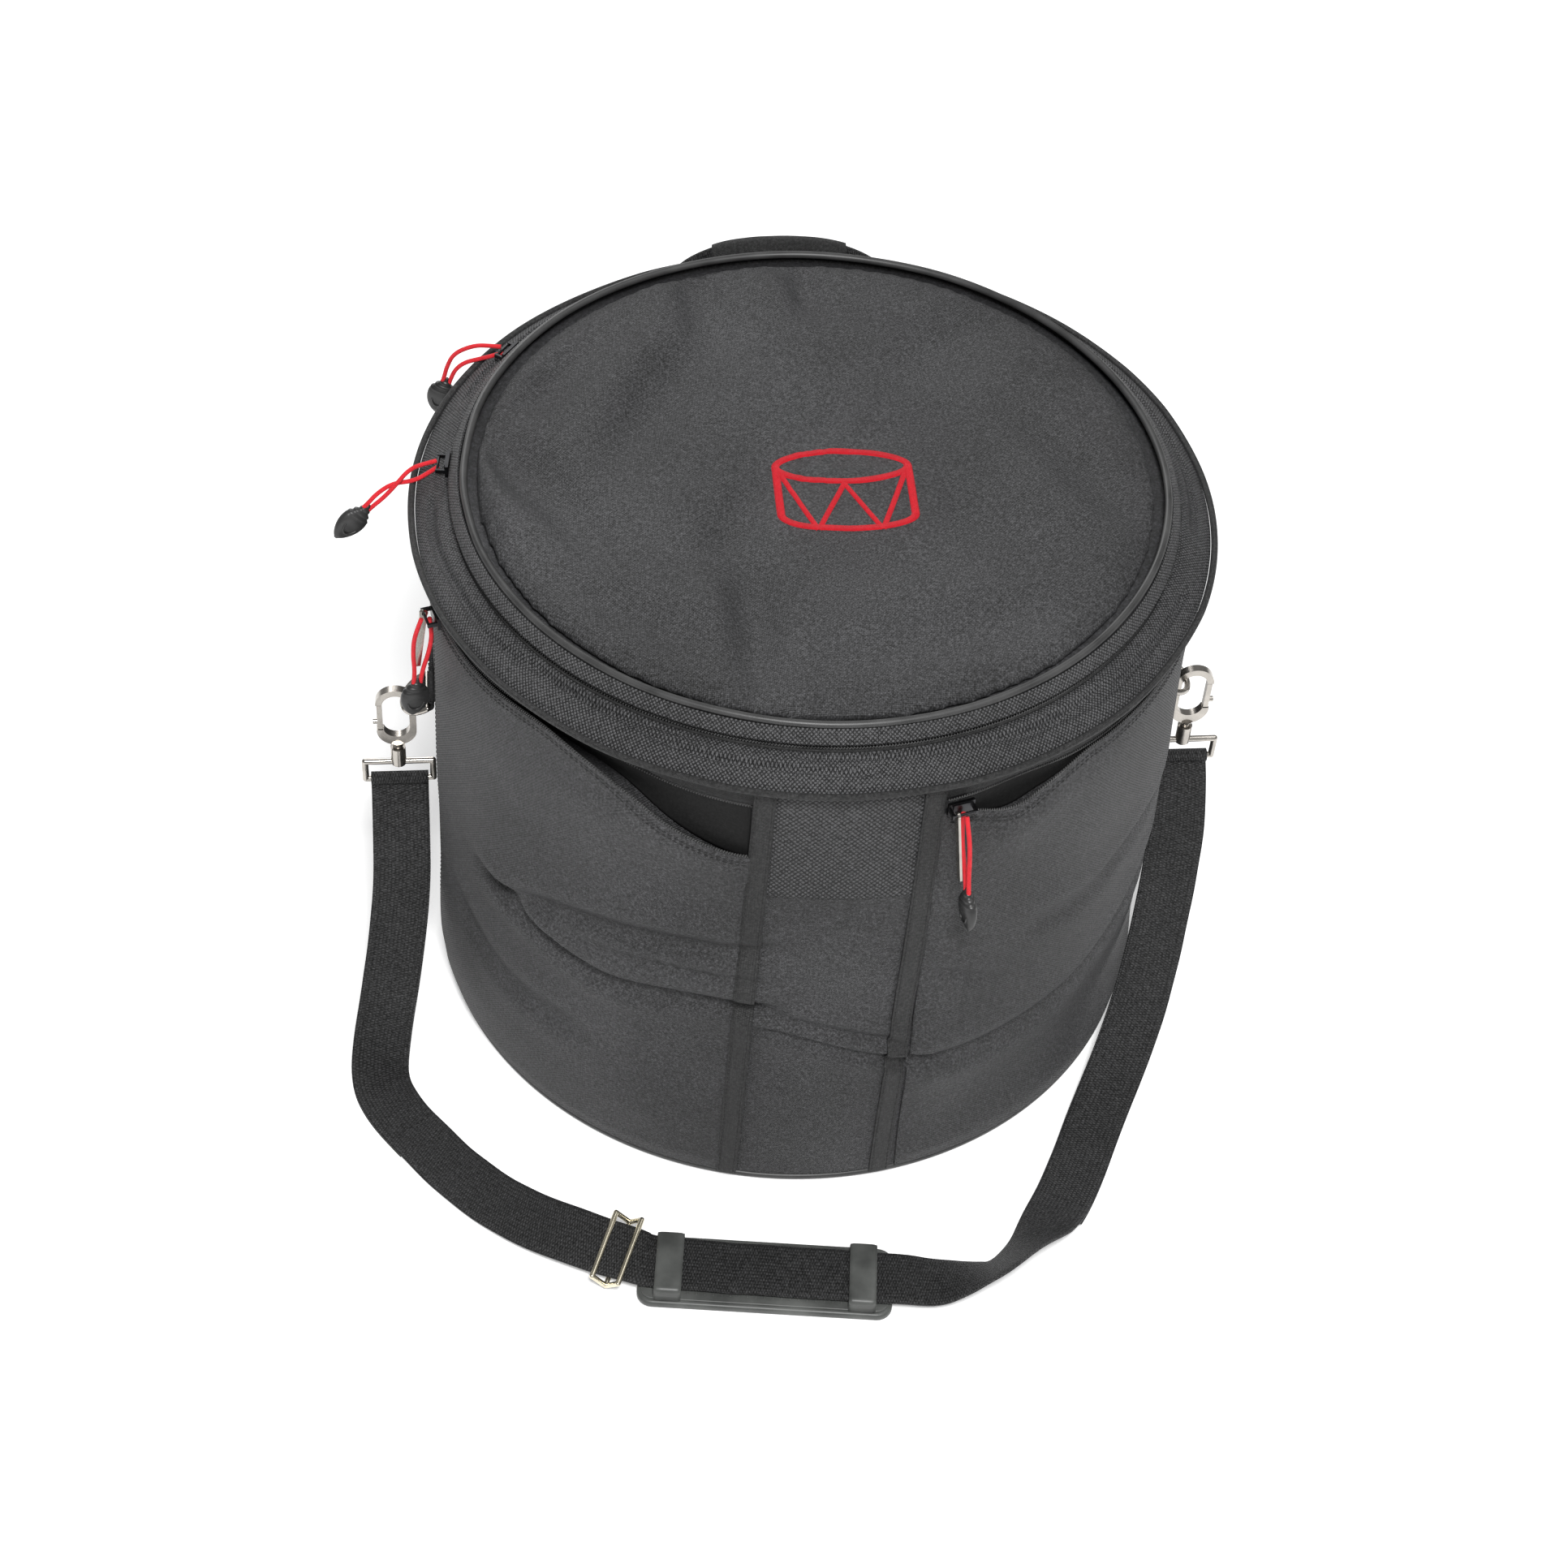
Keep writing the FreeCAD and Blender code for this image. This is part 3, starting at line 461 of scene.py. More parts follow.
def steered_line(points, steps=8):
    """A smooth line that its points steer, through the middles of its runs."""
    points = [np.array(point, float) for point in points]
    line = [points[0]]
    for index in range(1, len(points) - 1):
        start = points[0] if index == 1 else (points[index - 1] + points[index]) / 2
        end = points[-1] if index == len(points) - 2 else (points[index] + points[index + 1]) / 2
        for step in range(1, steps + 1):
            share = step / steps
            line.append(start * (1 - share) ** 2 + points[index] * 2 * share * (1 - share) + end
                        * share ** 2)
    return np.array(line)


def cylinder_points(theta, radius, level):
    angle = np.radians(theta)
    return np.stack([radius * np.cos(angle), radius * np.sin(angle), level], axis=-1)


def outward_at(theta):
    """Unit directions straight out from the bag's axis."""
    theta = np.asarray(theta, float)
    return cylinder_points(theta, 1.0, np.zeros_like(theta))


def turned_part(profile, span, step_deg, drape):
    """A profile of (radius, height) swept round the bag, then draped."""
    whole = span[1] - span[0] >= 359.99
    count = max(2, round((span[1] - span[0]) / step_deg))
    theta = np.linspace(span[0], span[1], count + 1)
    around = theta[:-1] if whole else theta
    profile = np.asarray(profile, float)
    angle, radius = np.meshgrid(around, profile[:, 0], indexing="ij")
    level = np.broadcast_to(profile[:, 1], radius.shape)
    angle, radius, level = drape(angle, radius, level)
    points = cylinder_points(angle, radius, level)
    ring = np.vstack([profile, profile[:1]])
    across = lengths_along(ring)
    along = np.radians(theta) * profile[:, 0].max()
    return grid_part(points, along, across, whole, True, not whole)


def round_profile(radius, level, thickness, count):
    angle = np.arange(count) * 2 * math.pi / count
    return np.stack([radius + thickness * np.cos(angle), level + thickness * np.sin(angle)],
                    axis=1)


def slab_profile(inner, outer, bottom, top, step):
    """A closed upright section, finely divided so that it can drape."""
    corners = [(inner, bottom), (outer, bottom), (outer, top), (inner, top), (inner, bottom)]
    return refine(corners, step)[:-1]


def sweep_part(line, across, normal, section):
    """A closed section carried along a line."""
    section = np.asarray(section, float)
    points = (line[:, None, :] + across[:, None, :] * section[None, :, 0:1]
              + normal[:, None, :] * section[None, :, 1:2])
    ring = np.vstack([section, section[:1]])
    return grid_part(points, lengths_along(line), lengths_along(ring), False, True, True)


def unit(vectors):
    return vectors / np.linalg.norm(vectors, axis=-1, keepdims=True)


def directions(line):
    return unit(np.gradient(line, axis=0))


def transported(line, start_normal):
    """Sideways directions that turn with a line without twisting about it."""
    tangents = directions(line)
    normals = []
    normal = np.array(start_normal, float)
    for tangent in tangents:
        normal = normal - tangent * normal.dot(tangent)
        normal /= np.linalg.norm(normal)
        normals.append(normal)
    normals = np.array(normals)
    return normals, np.cross(tangents, normals)


def tube_part(line, radius, start_normal, sides):
    """A round thread or cord along a line."""
    across, normal = transported(line, start_normal)
    angle = np.arange(sides) * 2 * math.pi / sides
    section = np.stack([radius * np.cos(angle), radius * np.sin(angle)], axis=1)
    return sweep_part(line, across, normal, section)


def stitches_part(line, normal, length, gap, radius):
    """A row of short raised threads along a line, each one bowed over the cloth."""
    distance = lengths_along(line)
    total = distance[-1]
    count = max(1, int(total / (length + gap)))
    starts = (np.arange(count) + 0.5) * total / count - length / 2
    share = np.array([0.0, 0.15, 0.5, 0.85, 1.0])
    lift = np.array([-0.6, 0.5, 0.9, 0.5, -0.6])
    angle = np.arange(6) * math.pi / 3
    at = starts[:, None] + share[None, :] * length
    middle = sampled(line, distance, at)
    up = sampled(normal, distance, at)
    tangent = unit(middle[:, -1] - middle[:, 0])[:, None, :]
    side = np.cross(np.broadcast_to(tangent, up.shape), up)
    middle = middle + up * (lift * radius)[None, :, None]
    width = radius * np.array([0.5, 0.95, 1.0, 0.95, 0.5])
    points = (middle[:, :, None, :] + side[:, :, None, :]
              * (width[None, :, None, None] * np.cos(angle)[None, None, :, None])
              + up[:, :, None, :]
              * (width[None, :, None, None] * np.sin(angle)[None, None, :, None]))
    return repeated_part(points, share * length, np.arange(7) * radius)


def repeated_part(points, along, around):
    """Many closed bodies with the same faces, as one part."""
    first, faces, uvs = grid_part(points[0], along, around, False, True, True)
    faces = [tuple(index * len(first) + corner for corner in face)
             for index in range(len(points)) for face in faces]
    return points.reshape(-1, 3), faces, uvs * len(points)


def seam_part(theta, radius, level, drape, gap=1.0 * MM, gauge=0.24 * MM):
    """A row of stitches on a draped surface, along angles or along heights."""
    angle, place, height = drape(*np.broadcast_arrays(theta, radius, level))
    return stitches_part(cylinder_points(angle, place, height), outward_at(angle), SEAM_STITCH,
                         gap, gauge)


def extruded_part(outline, spread, place):
    """A closed outline repeated at several offsets; place(first, second, offset) is a point."""
    outline = np.asarray(outline, float)
    points = np.array([[place(first, second, offset) for first, second in outline]
                       for offset in spread])
    ring = np.vstack([outline, outline[:1]])
    return grid_part(points, spread, lengths_along(ring), False, True, True)


def ring_cord(name, node, drape, step_deg, look="piping", body="bag", thick=None, share=1.0):
    """Round piping that runs right round the bag, in place of a node."""
    middle = (low(node) + high(node)) / 2
    thick = thick or middle - low(node)
    section = round_profile(reach(node) - thick, middle, thick * share, 12)
    build(name, [turned_part(section, (0, 360), step_deg, drape)], look, body, [node])


# ---------------------------------------------------------------- how the bag slumps

CREASES = [
    # ((degrees, height), ...), depth and half width
    (((203, 0.166), (214, 0.172), (229, 0.196), (242, 0.208), (266, 0.218)), 0.0050, 0.0075),
    (((208, 0.176), (218, 0.171), (233, 0.153), (247, 0.162), (266, 0.166)), 0.0058, 0.0065),
    (((224, 0.178), (236, 0.184), (250, 0.188), (262, 0.192)), 0.0022, 0.0040),
    (((252, 0.168), (261, 0.160), (281, 0.127), (286, 0.122)), 0.0034, 0.0050),
    (((254, 0.150), (262, 0.146), (283, 0.106), (291, 0.102)), 0.0036, 0.0048),
    (((280, 0.198), (285, 0.193), (292, 0.174), (298, 0.166)), 0.0030, 0.0050),
    (((278, 0.110), (294, 0.101), (310, 0.102), (328, 0.122), (346, 0.156)), 0.0052, 0.0095),
    (((296, 0.205), (310, 0.192), (326, 0.196), (343, 0.212)), 0.0030, 0.0085),
    (((196, 0.120), (206, 0.108), (220, 0.096), (236, 0.098)), 0.0030, 0.0090),
    (((16, 0.120), (36, 0.152), (58, 0.170), (76, 0.205)), 0.0030, 0.0080),
    (((64, 0.080), (84, 0.094), (104, 0.132), (126, 0.150)), 0.0022, 0.0090),
    (((112, 0.232), (134, 0.196), (156, 0.178), (172, 0.186)), 0.0030, 0.0080),
]
BULGES = [
    # degrees and half width of the place, height and half height, how far it stands out
    (212, 42, 0.070, 0.055, 0.0035),
    (318, 38, 0.040, 0.060, -0.0060),
    (75, 60, 0.090, 0.080, 0.0020),
]
RING_LEVEL = 0.206
LUMPS = np.random.default_rng(11)
LUMP_WAVES = LUMPS.normal(size=(14, 3)) * 34.0
LUMP_PHASES = LUMPS.uniform(0, 2 * math.pi, 14)


def lumps(theta, level):
    """Gentle, seamless unevenness of padded cloth, about -1 to 1."""
    points = cylinder_points(theta, WALL_RADIUS, level)
    waves = np.sin(points @ LUMP_WAVES.T + LUMP_PHASES)
    return waves.sum(axis=-1) / 5.0


def crease_depth(theta, level):
    """The wall's creases: a valley along each route, with a bank on both sides."""
    total = np.zeros_like(level, dtype=float)
    for route, depth, width in CREASES:
        line = steered_line(route)
        inside = smoothstep(route[0][0], route[0][0] + 9, theta) * (
            1 - smoothstep(route[-1][0] - 9, route[-1][0], theta))
        distance = level - np.interp(theta, line[:, 0], line[:, 1])
        valley = -hump(distance, 0, width)
        shoulders = 0.50 * hump(distance, 1.9 * width, 1.4 * width) + 0.35 * hump(distance,
                                                                                  -1.9 * width,
                                                                                  1.4 * width)
        total += depth * inside * (valley + shoulders)
    return total


def turn_distance(theta, centre):
    """Degrees from centre to theta the short way round, below zero on one side."""
    return (theta - centre + 180.0) % 360.0 - 180.0


def slump(theta, level):
    """How far the padded wall stands in or out of its true cylinder."""
    theta = np.asarray(theta, float) % 360.0
    level = np.asarray(level, float)
    loose = smoothstep(0.002, 0.05, level) * (1 - smoothstep(0.290, 0.338, level))
    for side in (0.0, 180.0):
        held = hump(turn_distance(theta, side), 0, 8.0) * hump(level, RING_LEVEL + 0.008, 0.035)
        loose = loose * (1 - held)
    offset = 0.0011 * lumps(theta, level) + crease_depth(theta, level)
    for centre, half_angle, height, half_height, depth in BULGES:
        there = hump(turn_distance(theta, centre), 0, half_angle)
        offset = offset + depth * there * hump(level, height, half_height)
    gathers = (hump(theta, 245, 11) * hump(level, 0.187, 0.011)
               + 0.8 * hump(theta, 287, 7) * hump(level, 0.150, 0.045))
    offset = offset + 0.0006 * gathers * np.sin(np.radians(theta) * 150)
    mouths = hump(theta, 236, 16) + 0.8 * hump(theta, 295, 7)
    return offset * loose - 0.0050 * mouths * hump(level, 0.319, 0.015)


def wall_drape(theta, radius, level):
    """What lies on the wall follows its slump."""
    return theta, radius + slump(theta, level), level


def still(theta, radius, level):
    """The drape of a piece that isn't draped."""
    return theta, radius, level


# ---------------------------------------------------------------- cords and strap

STRAP_ROUTE = [
    # (x, y, z, roll in degrees about the strap's own line)
    (-0.2445, 0.0030, 0.1310, 0), (-0.2445, -0.0200, 0.1100, 0), (-0.2450, -0.0480, 0.0830, 0),
    (-0.2520, -0.0840, 0.0490, 0), (-0.2600, -0.1120, 0.0200, 0), (-0.2630, -0.1340, 0.0022, 0),
    (-0.2540, -0.1570, 0.0016, 0), (-0.2340, -0.1840, 0.0016, 0), (-0.2120, -0.2120, 0.0026, 4),
    (-0.1840, -0.2400, 0.0070, 10), (-0.1570, -0.2586, 0.0120, 15), (-0.1300, -0.2715, 0.0122, 12),
    (-0.1140, -0.2780, 0.0116, 8), (-0.1020, -0.2832, 0.0104, -1), (0.0440, -0.3018, 0.0094, 0),
    (0.0660, -0.3028, 0.0060, -6), (0.0840, -0.3030, 0.0090, -27), (0.1020, -0.2995, 0.0155, -50),
    (0.1220, -0.2840, 0.0145, -46), (0.1400, -0.2600, 0.0045, -8), (0.1580, -0.2290, 0.0018, 0),
    (0.1780, -0.1860, 0.0042, 0), (0.1990, -0.1490, 0.0210, 8), (0.2160, -0.1150, 0.0450, 16),
    (0.2320, -0.0700, 0.0840, 16), (0.2445, -0.0240, 0.1120, 4), (0.2445, 0.0030, 0.1310, 0),
]
STRAP_WIDE = 35 * MM
STRAP_THICK = 2.0 * MM
CORD_THICK = 2.6 * MM
MAIN_BAR = (0.2144, 0.3646)
POCKET_BAR = (0.2308, 0.3280)
PULLS = {
    # angle round the bag, lean from straight out, droop, the slider's bar, sideways crossing
    "front": (173.5, 26.0, 13.0, MAIN_BAR, True),
    "rear": (144.4, 26.0, 13.0, MAIN_BAR, False),
    "pocket_left": (LEFT_SLIDER, 0.0, 82.0, POCKET_BAR, False),
    "pocket_right": (RIGHT_SLIDER, 0.0, 73.0, POCKET_BAR, False),
}
PULL_CORD = [
    # (along the pull, across it) from the slider's bar, round inside the tip and back
    (0.0004, 0.0023), (0.0060, 0.0036), (0.0160, 0.0052), (0.0280, 0.0044), (0.0380, 0.0026),
    (0.0460, 0.0020), (0.0535, 0.0020), (0.0535, -0.0020), (0.0460, -0.0020), (0.0380, -0.0026),
    (0.0280, -0.0044), (0.0160, -0.0052), (0.0060, -0.0036), (0.0004, -0.0023),
]
TIP_CENTRE = 0.060
PULL_BENDS = {
    # where a main pull starts to bend down over the ridge, how far along the bend runs, its turn
    "front": (0.017, 0.020, 26.0),
    "rear": (0.017, 0.021, 60.0),
}
PAD_PLACE = Vector((-0.0360, -0.2918, 0.0))
PAD_HEADING = -7.1


def read_route(points, resolution=8):
    """Points read along the smooth spline that a cord's route points control."""
    curve = bpy.data.curves.new("route", "CURVE")
    curve.dimensions = "3D"
    curve.resolution_u = resolution
    spline = curve.splines.new("NURBS")
    spline.points.add(len(points) - 1)
    for point, place in zip(spline.points, points):
        point.co = (*place, 1)
    spline.order_u = 3
    spline.use_endpoint_u = True
    holder = bpy.data.objects.new("route", curve)
    mesh = bpy.data.meshes.new_from_object(holder)
    line = np.array([vertex.co[:] for vertex in mesh.vertices])
    bpy.data.objects.remove(holder)
    bpy.data.curves.remove(curve)
    bpy.data.meshes.remove(mesh)
    return line


def ribbon_axes(line, rolls):
    """Across and outward directions of webbing that lies level but for its roll."""
    ahead = directions(line)
    across = unit(np.cross(ahead, (0.0, 0.0, 1.0)))
    turn = np.radians(rolls)[:, None]
    across = across * np.cos(turn) + np.cross(ahead, across) * np.sin(turn)
    return across, unit(np.cross(across, ahead))


def webbing_section(wide, thick):
    """A flat section with rounded, slightly thinner selvedges."""
    half = wide / 2
    share = np.linspace(-1, 1, 13)
    rise = thick / 2 * (1 - 0.45 * np.abs(share) ** 10)
    top = np.stack([share * half, rise], axis=1)
    return np.vstack([top[::-1], top * (1, -1)])


def strap_line():
    """The strap's centre line, and its directions across and out of its face."""
    line = read_route([station[:3] for station in STRAP_ROUTE])
    rolls = read_route([(station[3] / 1000, 0, 0) for station in STRAP_ROUTE])[:, 0] * 1000
    across, normal = ribbon_axes(line, rolls)
    return line, across, normal


def edge_stitches(line, across, normal, offset, lift):
    """A row of stitches along a strip, set off from its middle."""
    return stitches_part(line + across * offset + normal * lift, normal, 2.4 * MM, 0.9 * MM,
                         0.32 * MM)


def rectangle(left, right, bottom, top):
    return (left, bottom), (right, bottom), (right, top), (left, top)


def cross_box(corners, normal):
    """Stitch lines of a box with a cross in it."""
    a, b, c, d = [np.array(corner, float) for corner in corners]
    runs = [(a, b), (b, c), (c, d), (d, a), (a, c), (b, d)]
    parts = []
    for start, end in runs:
        line = np.linspace(start, end, 24)
        parts.append(stitches_part(line, np.tile(unit(np.array(normal, float)), (24, 1)),
                                   2.2 * MM, 0.8 * MM, 0.28 * MM))
    return parts


def make_strap():
    """The webbing, its folded and stitched ends, and what slides on it."""
    line, across, normal = strap_line()
    flutter = 0.0004 * np.sin(lengths_along(line) * 160.0)[:, None] * normal
    strap = build("shoulder_strap",
                  [sweep_part(line + flutter, across, normal,
                              webbing_section(STRAP_WIDE, STRAP_THICK))], "webbing", "bag",
                  ["strap_webbing"])
    for side, picked in (("left", slice(3, 54)), ("right", slice(-54, -3))):
        make_strap_end(side, line[picked], across[picked], normal[picked])
    pad = make_shoulder_pad()


def make_strap_end(side, line, across, normal):
    """Webbing folded round the hook's eye and sewn back under itself."""
    centre = (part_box(f"strap_end_{side}")[0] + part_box(f"strap_end_{side}")[1]) / 2
    bar = Vector((math.copysign(0.2445, centre.x), 0, 0.131))
    under = line - normal * (STRAP_THICK + 0.15 * MM)
    body = sweep_part(under, across, normal, webbing_section(STRAP_WIDE, STRAP_THICK * 0.9))
    angle = np.radians(np.linspace(-60, 245, 26))
    outer = np.stack([np.cos(angle), np.sin(angle)], axis=1) * 4.25 * MM
    inner = np.stack([np.cos(angle), np.sin(angle)], axis=1)[::-1] * 2.35 * MM
    wrap = extruded_part(np.vstack([outer, inner]),
                         np.linspace(-STRAP_WIDE / 2, STRAP_WIDE / 2, 9), lambda y, z,
                         x: (bar.x + x, bar.y + y, bar.z + z))
    fold = build(f"strap_fold_{side}", [body, wrap], "webbing", "bag", [f"strap_end_{side}"])
    start, end = (6, -3) if side == "left" else (3, -6)
    lift = STRAP_THICK / 2 + 0.1 * MM
    top = line + normal * lift
    half = STRAP_WIDE / 2 - 4 * MM
    rows = [edge_stitches(line[start:end], across[start:end], normal[start:end], offset, lift)
            for offset in (-half, half)]
    for share in (0.12, 0.40, 0.94):
        at = int((share if side == "left" else 1 - share) * (len(line) - 1))
        row = np.linspace(top[at] - across[at] * half, top[at] + across[at] * half, 20)
        rows.append(stitches_part(row, np.tile(normal[at], (20, 1)), 2.2 * MM, 0.8 * MM,
                                  0.32 * MM))
    seams = build(f"strap_stitching_{side}", rows, "stitching", "bag")
    return [fold, seams]


def rounded_outline(long, broad, corner, count=7):
    """A rectangle with round corners, as points in order."""
    points = []
    for quarter, (sx, sy) in enumerate(((1, 1), (-1, 1), (-1, -1), (1, -1))):
        for step in range(count):
            angle = math.radians(90 * quarter + 90 * step / (count - 1))
            points.append((sx * (long / 2 - corner) + corner * math.cos(angle),
                           sy * (broad / 2 - corner) + corner * math.sin(angle)))
    return np.array(points)


def slab_part(long, broad, corner, bottom, top, edge):
    """A flat moulding with round corners and rounded rims; caps are single faces."""
    rows = []
    for share in (0.0, 0.3, 0.7, 1.0):
        inset = edge * (1 - math.sin(share * math.pi / 2))
        rows.append((inset, bottom + edge * (1 - math.cos(share * math.pi / 2))))
    rows += [(inset, top - (level - bottom)) for inset, level in reversed(rows)]
    outline = rounded_outline(long, broad, corner)
    points = []
    for inset, level in rows:
        scale = np.array([(long - 2 * inset) / long, (broad - 2 * inset) / broad])
        points.append(np.column_stack([outline * scale, np.full(len(outline), level)]))
    points = np.array(points)
    ring = np.vstack([outline, outline[:1]])
    return grid_part(points, np.array([row[1] for row in rows]), lengths_along(ring), False, True,
                     True)


def moved(part, matrix):
    """The same mesh part, placed by a matrix."""
    points, faces, uvs = part
    points = np.asarray(points) @ np.array(matrix.to_3x3()).T + np.array(matrix.translation)
    return points, faces, uvs


def make_shoulder_pad():
    """A moulded rubber pad with ribs below, a raised rim and two bridges for the webbing."""
    lowest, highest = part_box("shoulder_pad")
    place = Matrix.Translation(PAD_PLACE) @ Matrix.Rotation(math.radians(PAD_HEADING), 4, "Z")
    long, broad, thick = 0.150, 0.048, 6.6 * MM
    slab = slab_part(long, broad, 9 * MM, lowest.z, thick - 1.2 * MM, 1.8 * MM)
    shelf = slab_part(long - 5 * MM, broad - 5 * MM, 7 * MM, thick - 1.6 * MM, thick, 0.6 * MM)
    parts = [slab, shelf]
    tall = highest.z - thick
    inner = STRAP_WIDE / 2 + 2.2 * MM
    for along in (-long / 2 + 18 * MM, long / 2 - 18 * MM):
        parts.append(bridge_part(along, inner, thick, tall))
    for row in range(-11, 12):
        rib = slab_part(1.6 * MM, broad - 13 * MM, 0.7 * MM, thick - 0.4 * MM, thick + 0.35 * MM,
                        0.25 * MM)
        if abs(abs(row * 5.0 * MM) - 57 * MM) > 11 * MM:
            parts.append(moved(rib, Matrix.Translation((row * 5.0 * MM, 0, 0))))
    pad = build("shoulder_pad_moulding",
                [moved(part, place) for part in parts], "pad_rubber", "shoulder_pad",
                ["shoulder_pad"])
    return [pad]


def bridge_part(along, inner, thick, tall):
    """A rubber loop over the webbing, with its feet moulded into the pad."""
    gauge = 1.7 * MM
    line = []
    foot = thick - 0.6 * MM
    shoulder = 2.2 * MM
    crown = thick + tall - gauge / 2
    line.append((0, -inner - 1.2 * gauge, foot))
    line.append((0, -inner - gauge / 2, thick + tall * 0.45))
    for step in range(6):
        angle = math.radians(180 - 18 * step)
        line.append((0, -inner + shoulder - gauge / 2 + shoulder * math.cos(angle),
                     crown - shoulder + shoulder * math.sin(angle)))
    half = np.array(line)
    mirrored = half[::-1] * (1, -1, 1)
    path = np.vstack([half, mirrored]) + (along, 0, 0)
    across = np.tile((1.0, 0.0, 0.0), (len(path), 1))
    normal = unit(np.cross(directions(path), across))
    share = np.linspace(-1, 1, 9)
    rise = gauge / 2 * (1 - 0.6 * np.abs(share) ** 6)
    top = np.stack([share * 8 * MM, rise], axis=1)
    return sweep_part(path, across, normal, np.vstack([top[::-1], top * (1, -1)]))


def pull_matrix(angle, lean, droop, bar):
    """+X along the pull, +Z across it, from the middle of the slider's bar."""
    radius, level = bar
    turn = math.radians(angle)
    place = Matrix.Translation((radius * math.cos(turn), radius * math.sin(turn), level))
    aim = Matrix.Rotation(math.radians(angle + lean), 4, "Z")
    return place @ aim @ Matrix.Rotation(math.radians(droop), 4, "Y")


def bent(name, along):
    """The place and turn of a pull's middle line, in the pull's own frame."""
    start, run, turn = PULL_BENDS.get(name, (0.0, 1.0, 0.0))
    if turn == 0 or along <= start:
        return Matrix.Translation((along, 0, 0))
    radius = run / math.radians(turn)
    angle = math.radians(turn) * min(1.0, (along - start) / run)
    beyond = max(0.0, along - start - run)
    x = start + radius * math.sin(angle) + beyond * math.cos(angle)
    z = -radius * (1 - math.cos(angle)) - beyond * math.sin(angle)
    return Matrix.Translation((x, 0, z)) @ Matrix.Rotation(angle, 4, "Y")


def make_pull(name):
    """A red looped cord whose ends are moulded into a ridged rubber tip."""
    angle, lean, droop, bar, crossing = PULLS[name]
    matrix = pull_matrix(angle, lean, droop, bar)
    half = len(PULL_CORD) / 2
    route = []
    for index, (along, across) in enumerate(PULL_CORD):
        lift = 0.0
        if crossing:
            swap = 1 - 2 * smoothstep(0.020, 0.036, along)
            lift = (1.5 * MM if index < half else -1.5
                    * MM) * math.sin(math.pi * float(smoothstep(0.016, 0.042, along)))
            across = across * float(swap)
        route.append(matrix @ bent(name, along) @ Vector((0, lift, across)))
    line = read_route([point[:] for point in route], 10)
    cord = build(f"pull_loop_{name}",
                 [tube_part(line, CORD_THICK / 2, matrix.to_3x3() @ Vector((0, 1, 0)),
                            12)], "pull_cord", f"pull_{name}", [f"pull_cord_{name}"])
    tip = make_tip(name, matrix @ bent(name, TIP_CENTRE) @ Matrix.Translation((-TIP_CENTRE, 0, 0)))


def make_tip(name, matrix):
    """A flat oval rubber tip: a ribbed neck, a rounded rim and a raised crescent."""
    rows, columns = 40, 32
    along = np.linspace(0.0, 1.0, rows)
    around = np.arange(columns) * 2 * math.pi / columns
    half_long, half_wide, half_thick = 14 * MM, 8.5 * MM, 4.2 * MM
    profile = np.sin(np.pi * np.clip(along, 0.012, 0.988)) ** 0.62
    neck = smoothstep(0.0, 0.42, along)
    wide = half_wide * profile * (0.50 + 0.50 * neck)
    ribs = 0.45 * MM * np.sin(along * 60.0) * (1 - smoothstep(0.30, 0.42,
                                                              along)) * smoothstep(0.02, 0.08,
                                                                                   along)
    flat = np.cos(around)[None, :]
    side = np.sin(around)[None, :]
    face = np.abs(flat) ** 0.8 * np.sign(flat)
    dish = 0.7 * MM * smoothstep(0.45, 0.62, along) * (1 - smoothstep(0.80, 0.93, along))
    thick = half_thick * profile * 0.95
    x = np.broadcast_to(((along - 0.5) * 2 * half_long + TIP_CENTRE)[:, None], (rows, columns))
    y = (thick[:, None] + ribs[:, None]) * face - dish[:, None] * np.sign(flat) * np.abs(flat) ** 4
    z = (wide[:, None] + ribs[:, None]) * side
    points = np.stack([x, y, z], axis=-1)
    body = grid_part(points, along * 2 * half_long, np.arange(columns + 1) * 1.2 * MM, False,
                     True, True)
    arc = np.radians(np.linspace(20, 160, 22))
    crescents = []
    for face_side in (-1, 1):
        line = np.stack([TIP_CENTRE + 7.6 * MM * np.sin(arc), np.full(22, face_side * 2.9 * MM),
                         5.0 * MM * np.cos(arc)], axis=1)
        crescents.append(tube_part(line, 0.55 * MM, (0, face_side, 0), 8))
    parts = [moved(part, matrix) for part in [body, *crescents]]
    return build(f"pull_grip_{name}", parts, "pull_rubber", f"pull_{name}", [f"pull_tip_{name}"])


# ---------------------------------------------------------------- walls and base

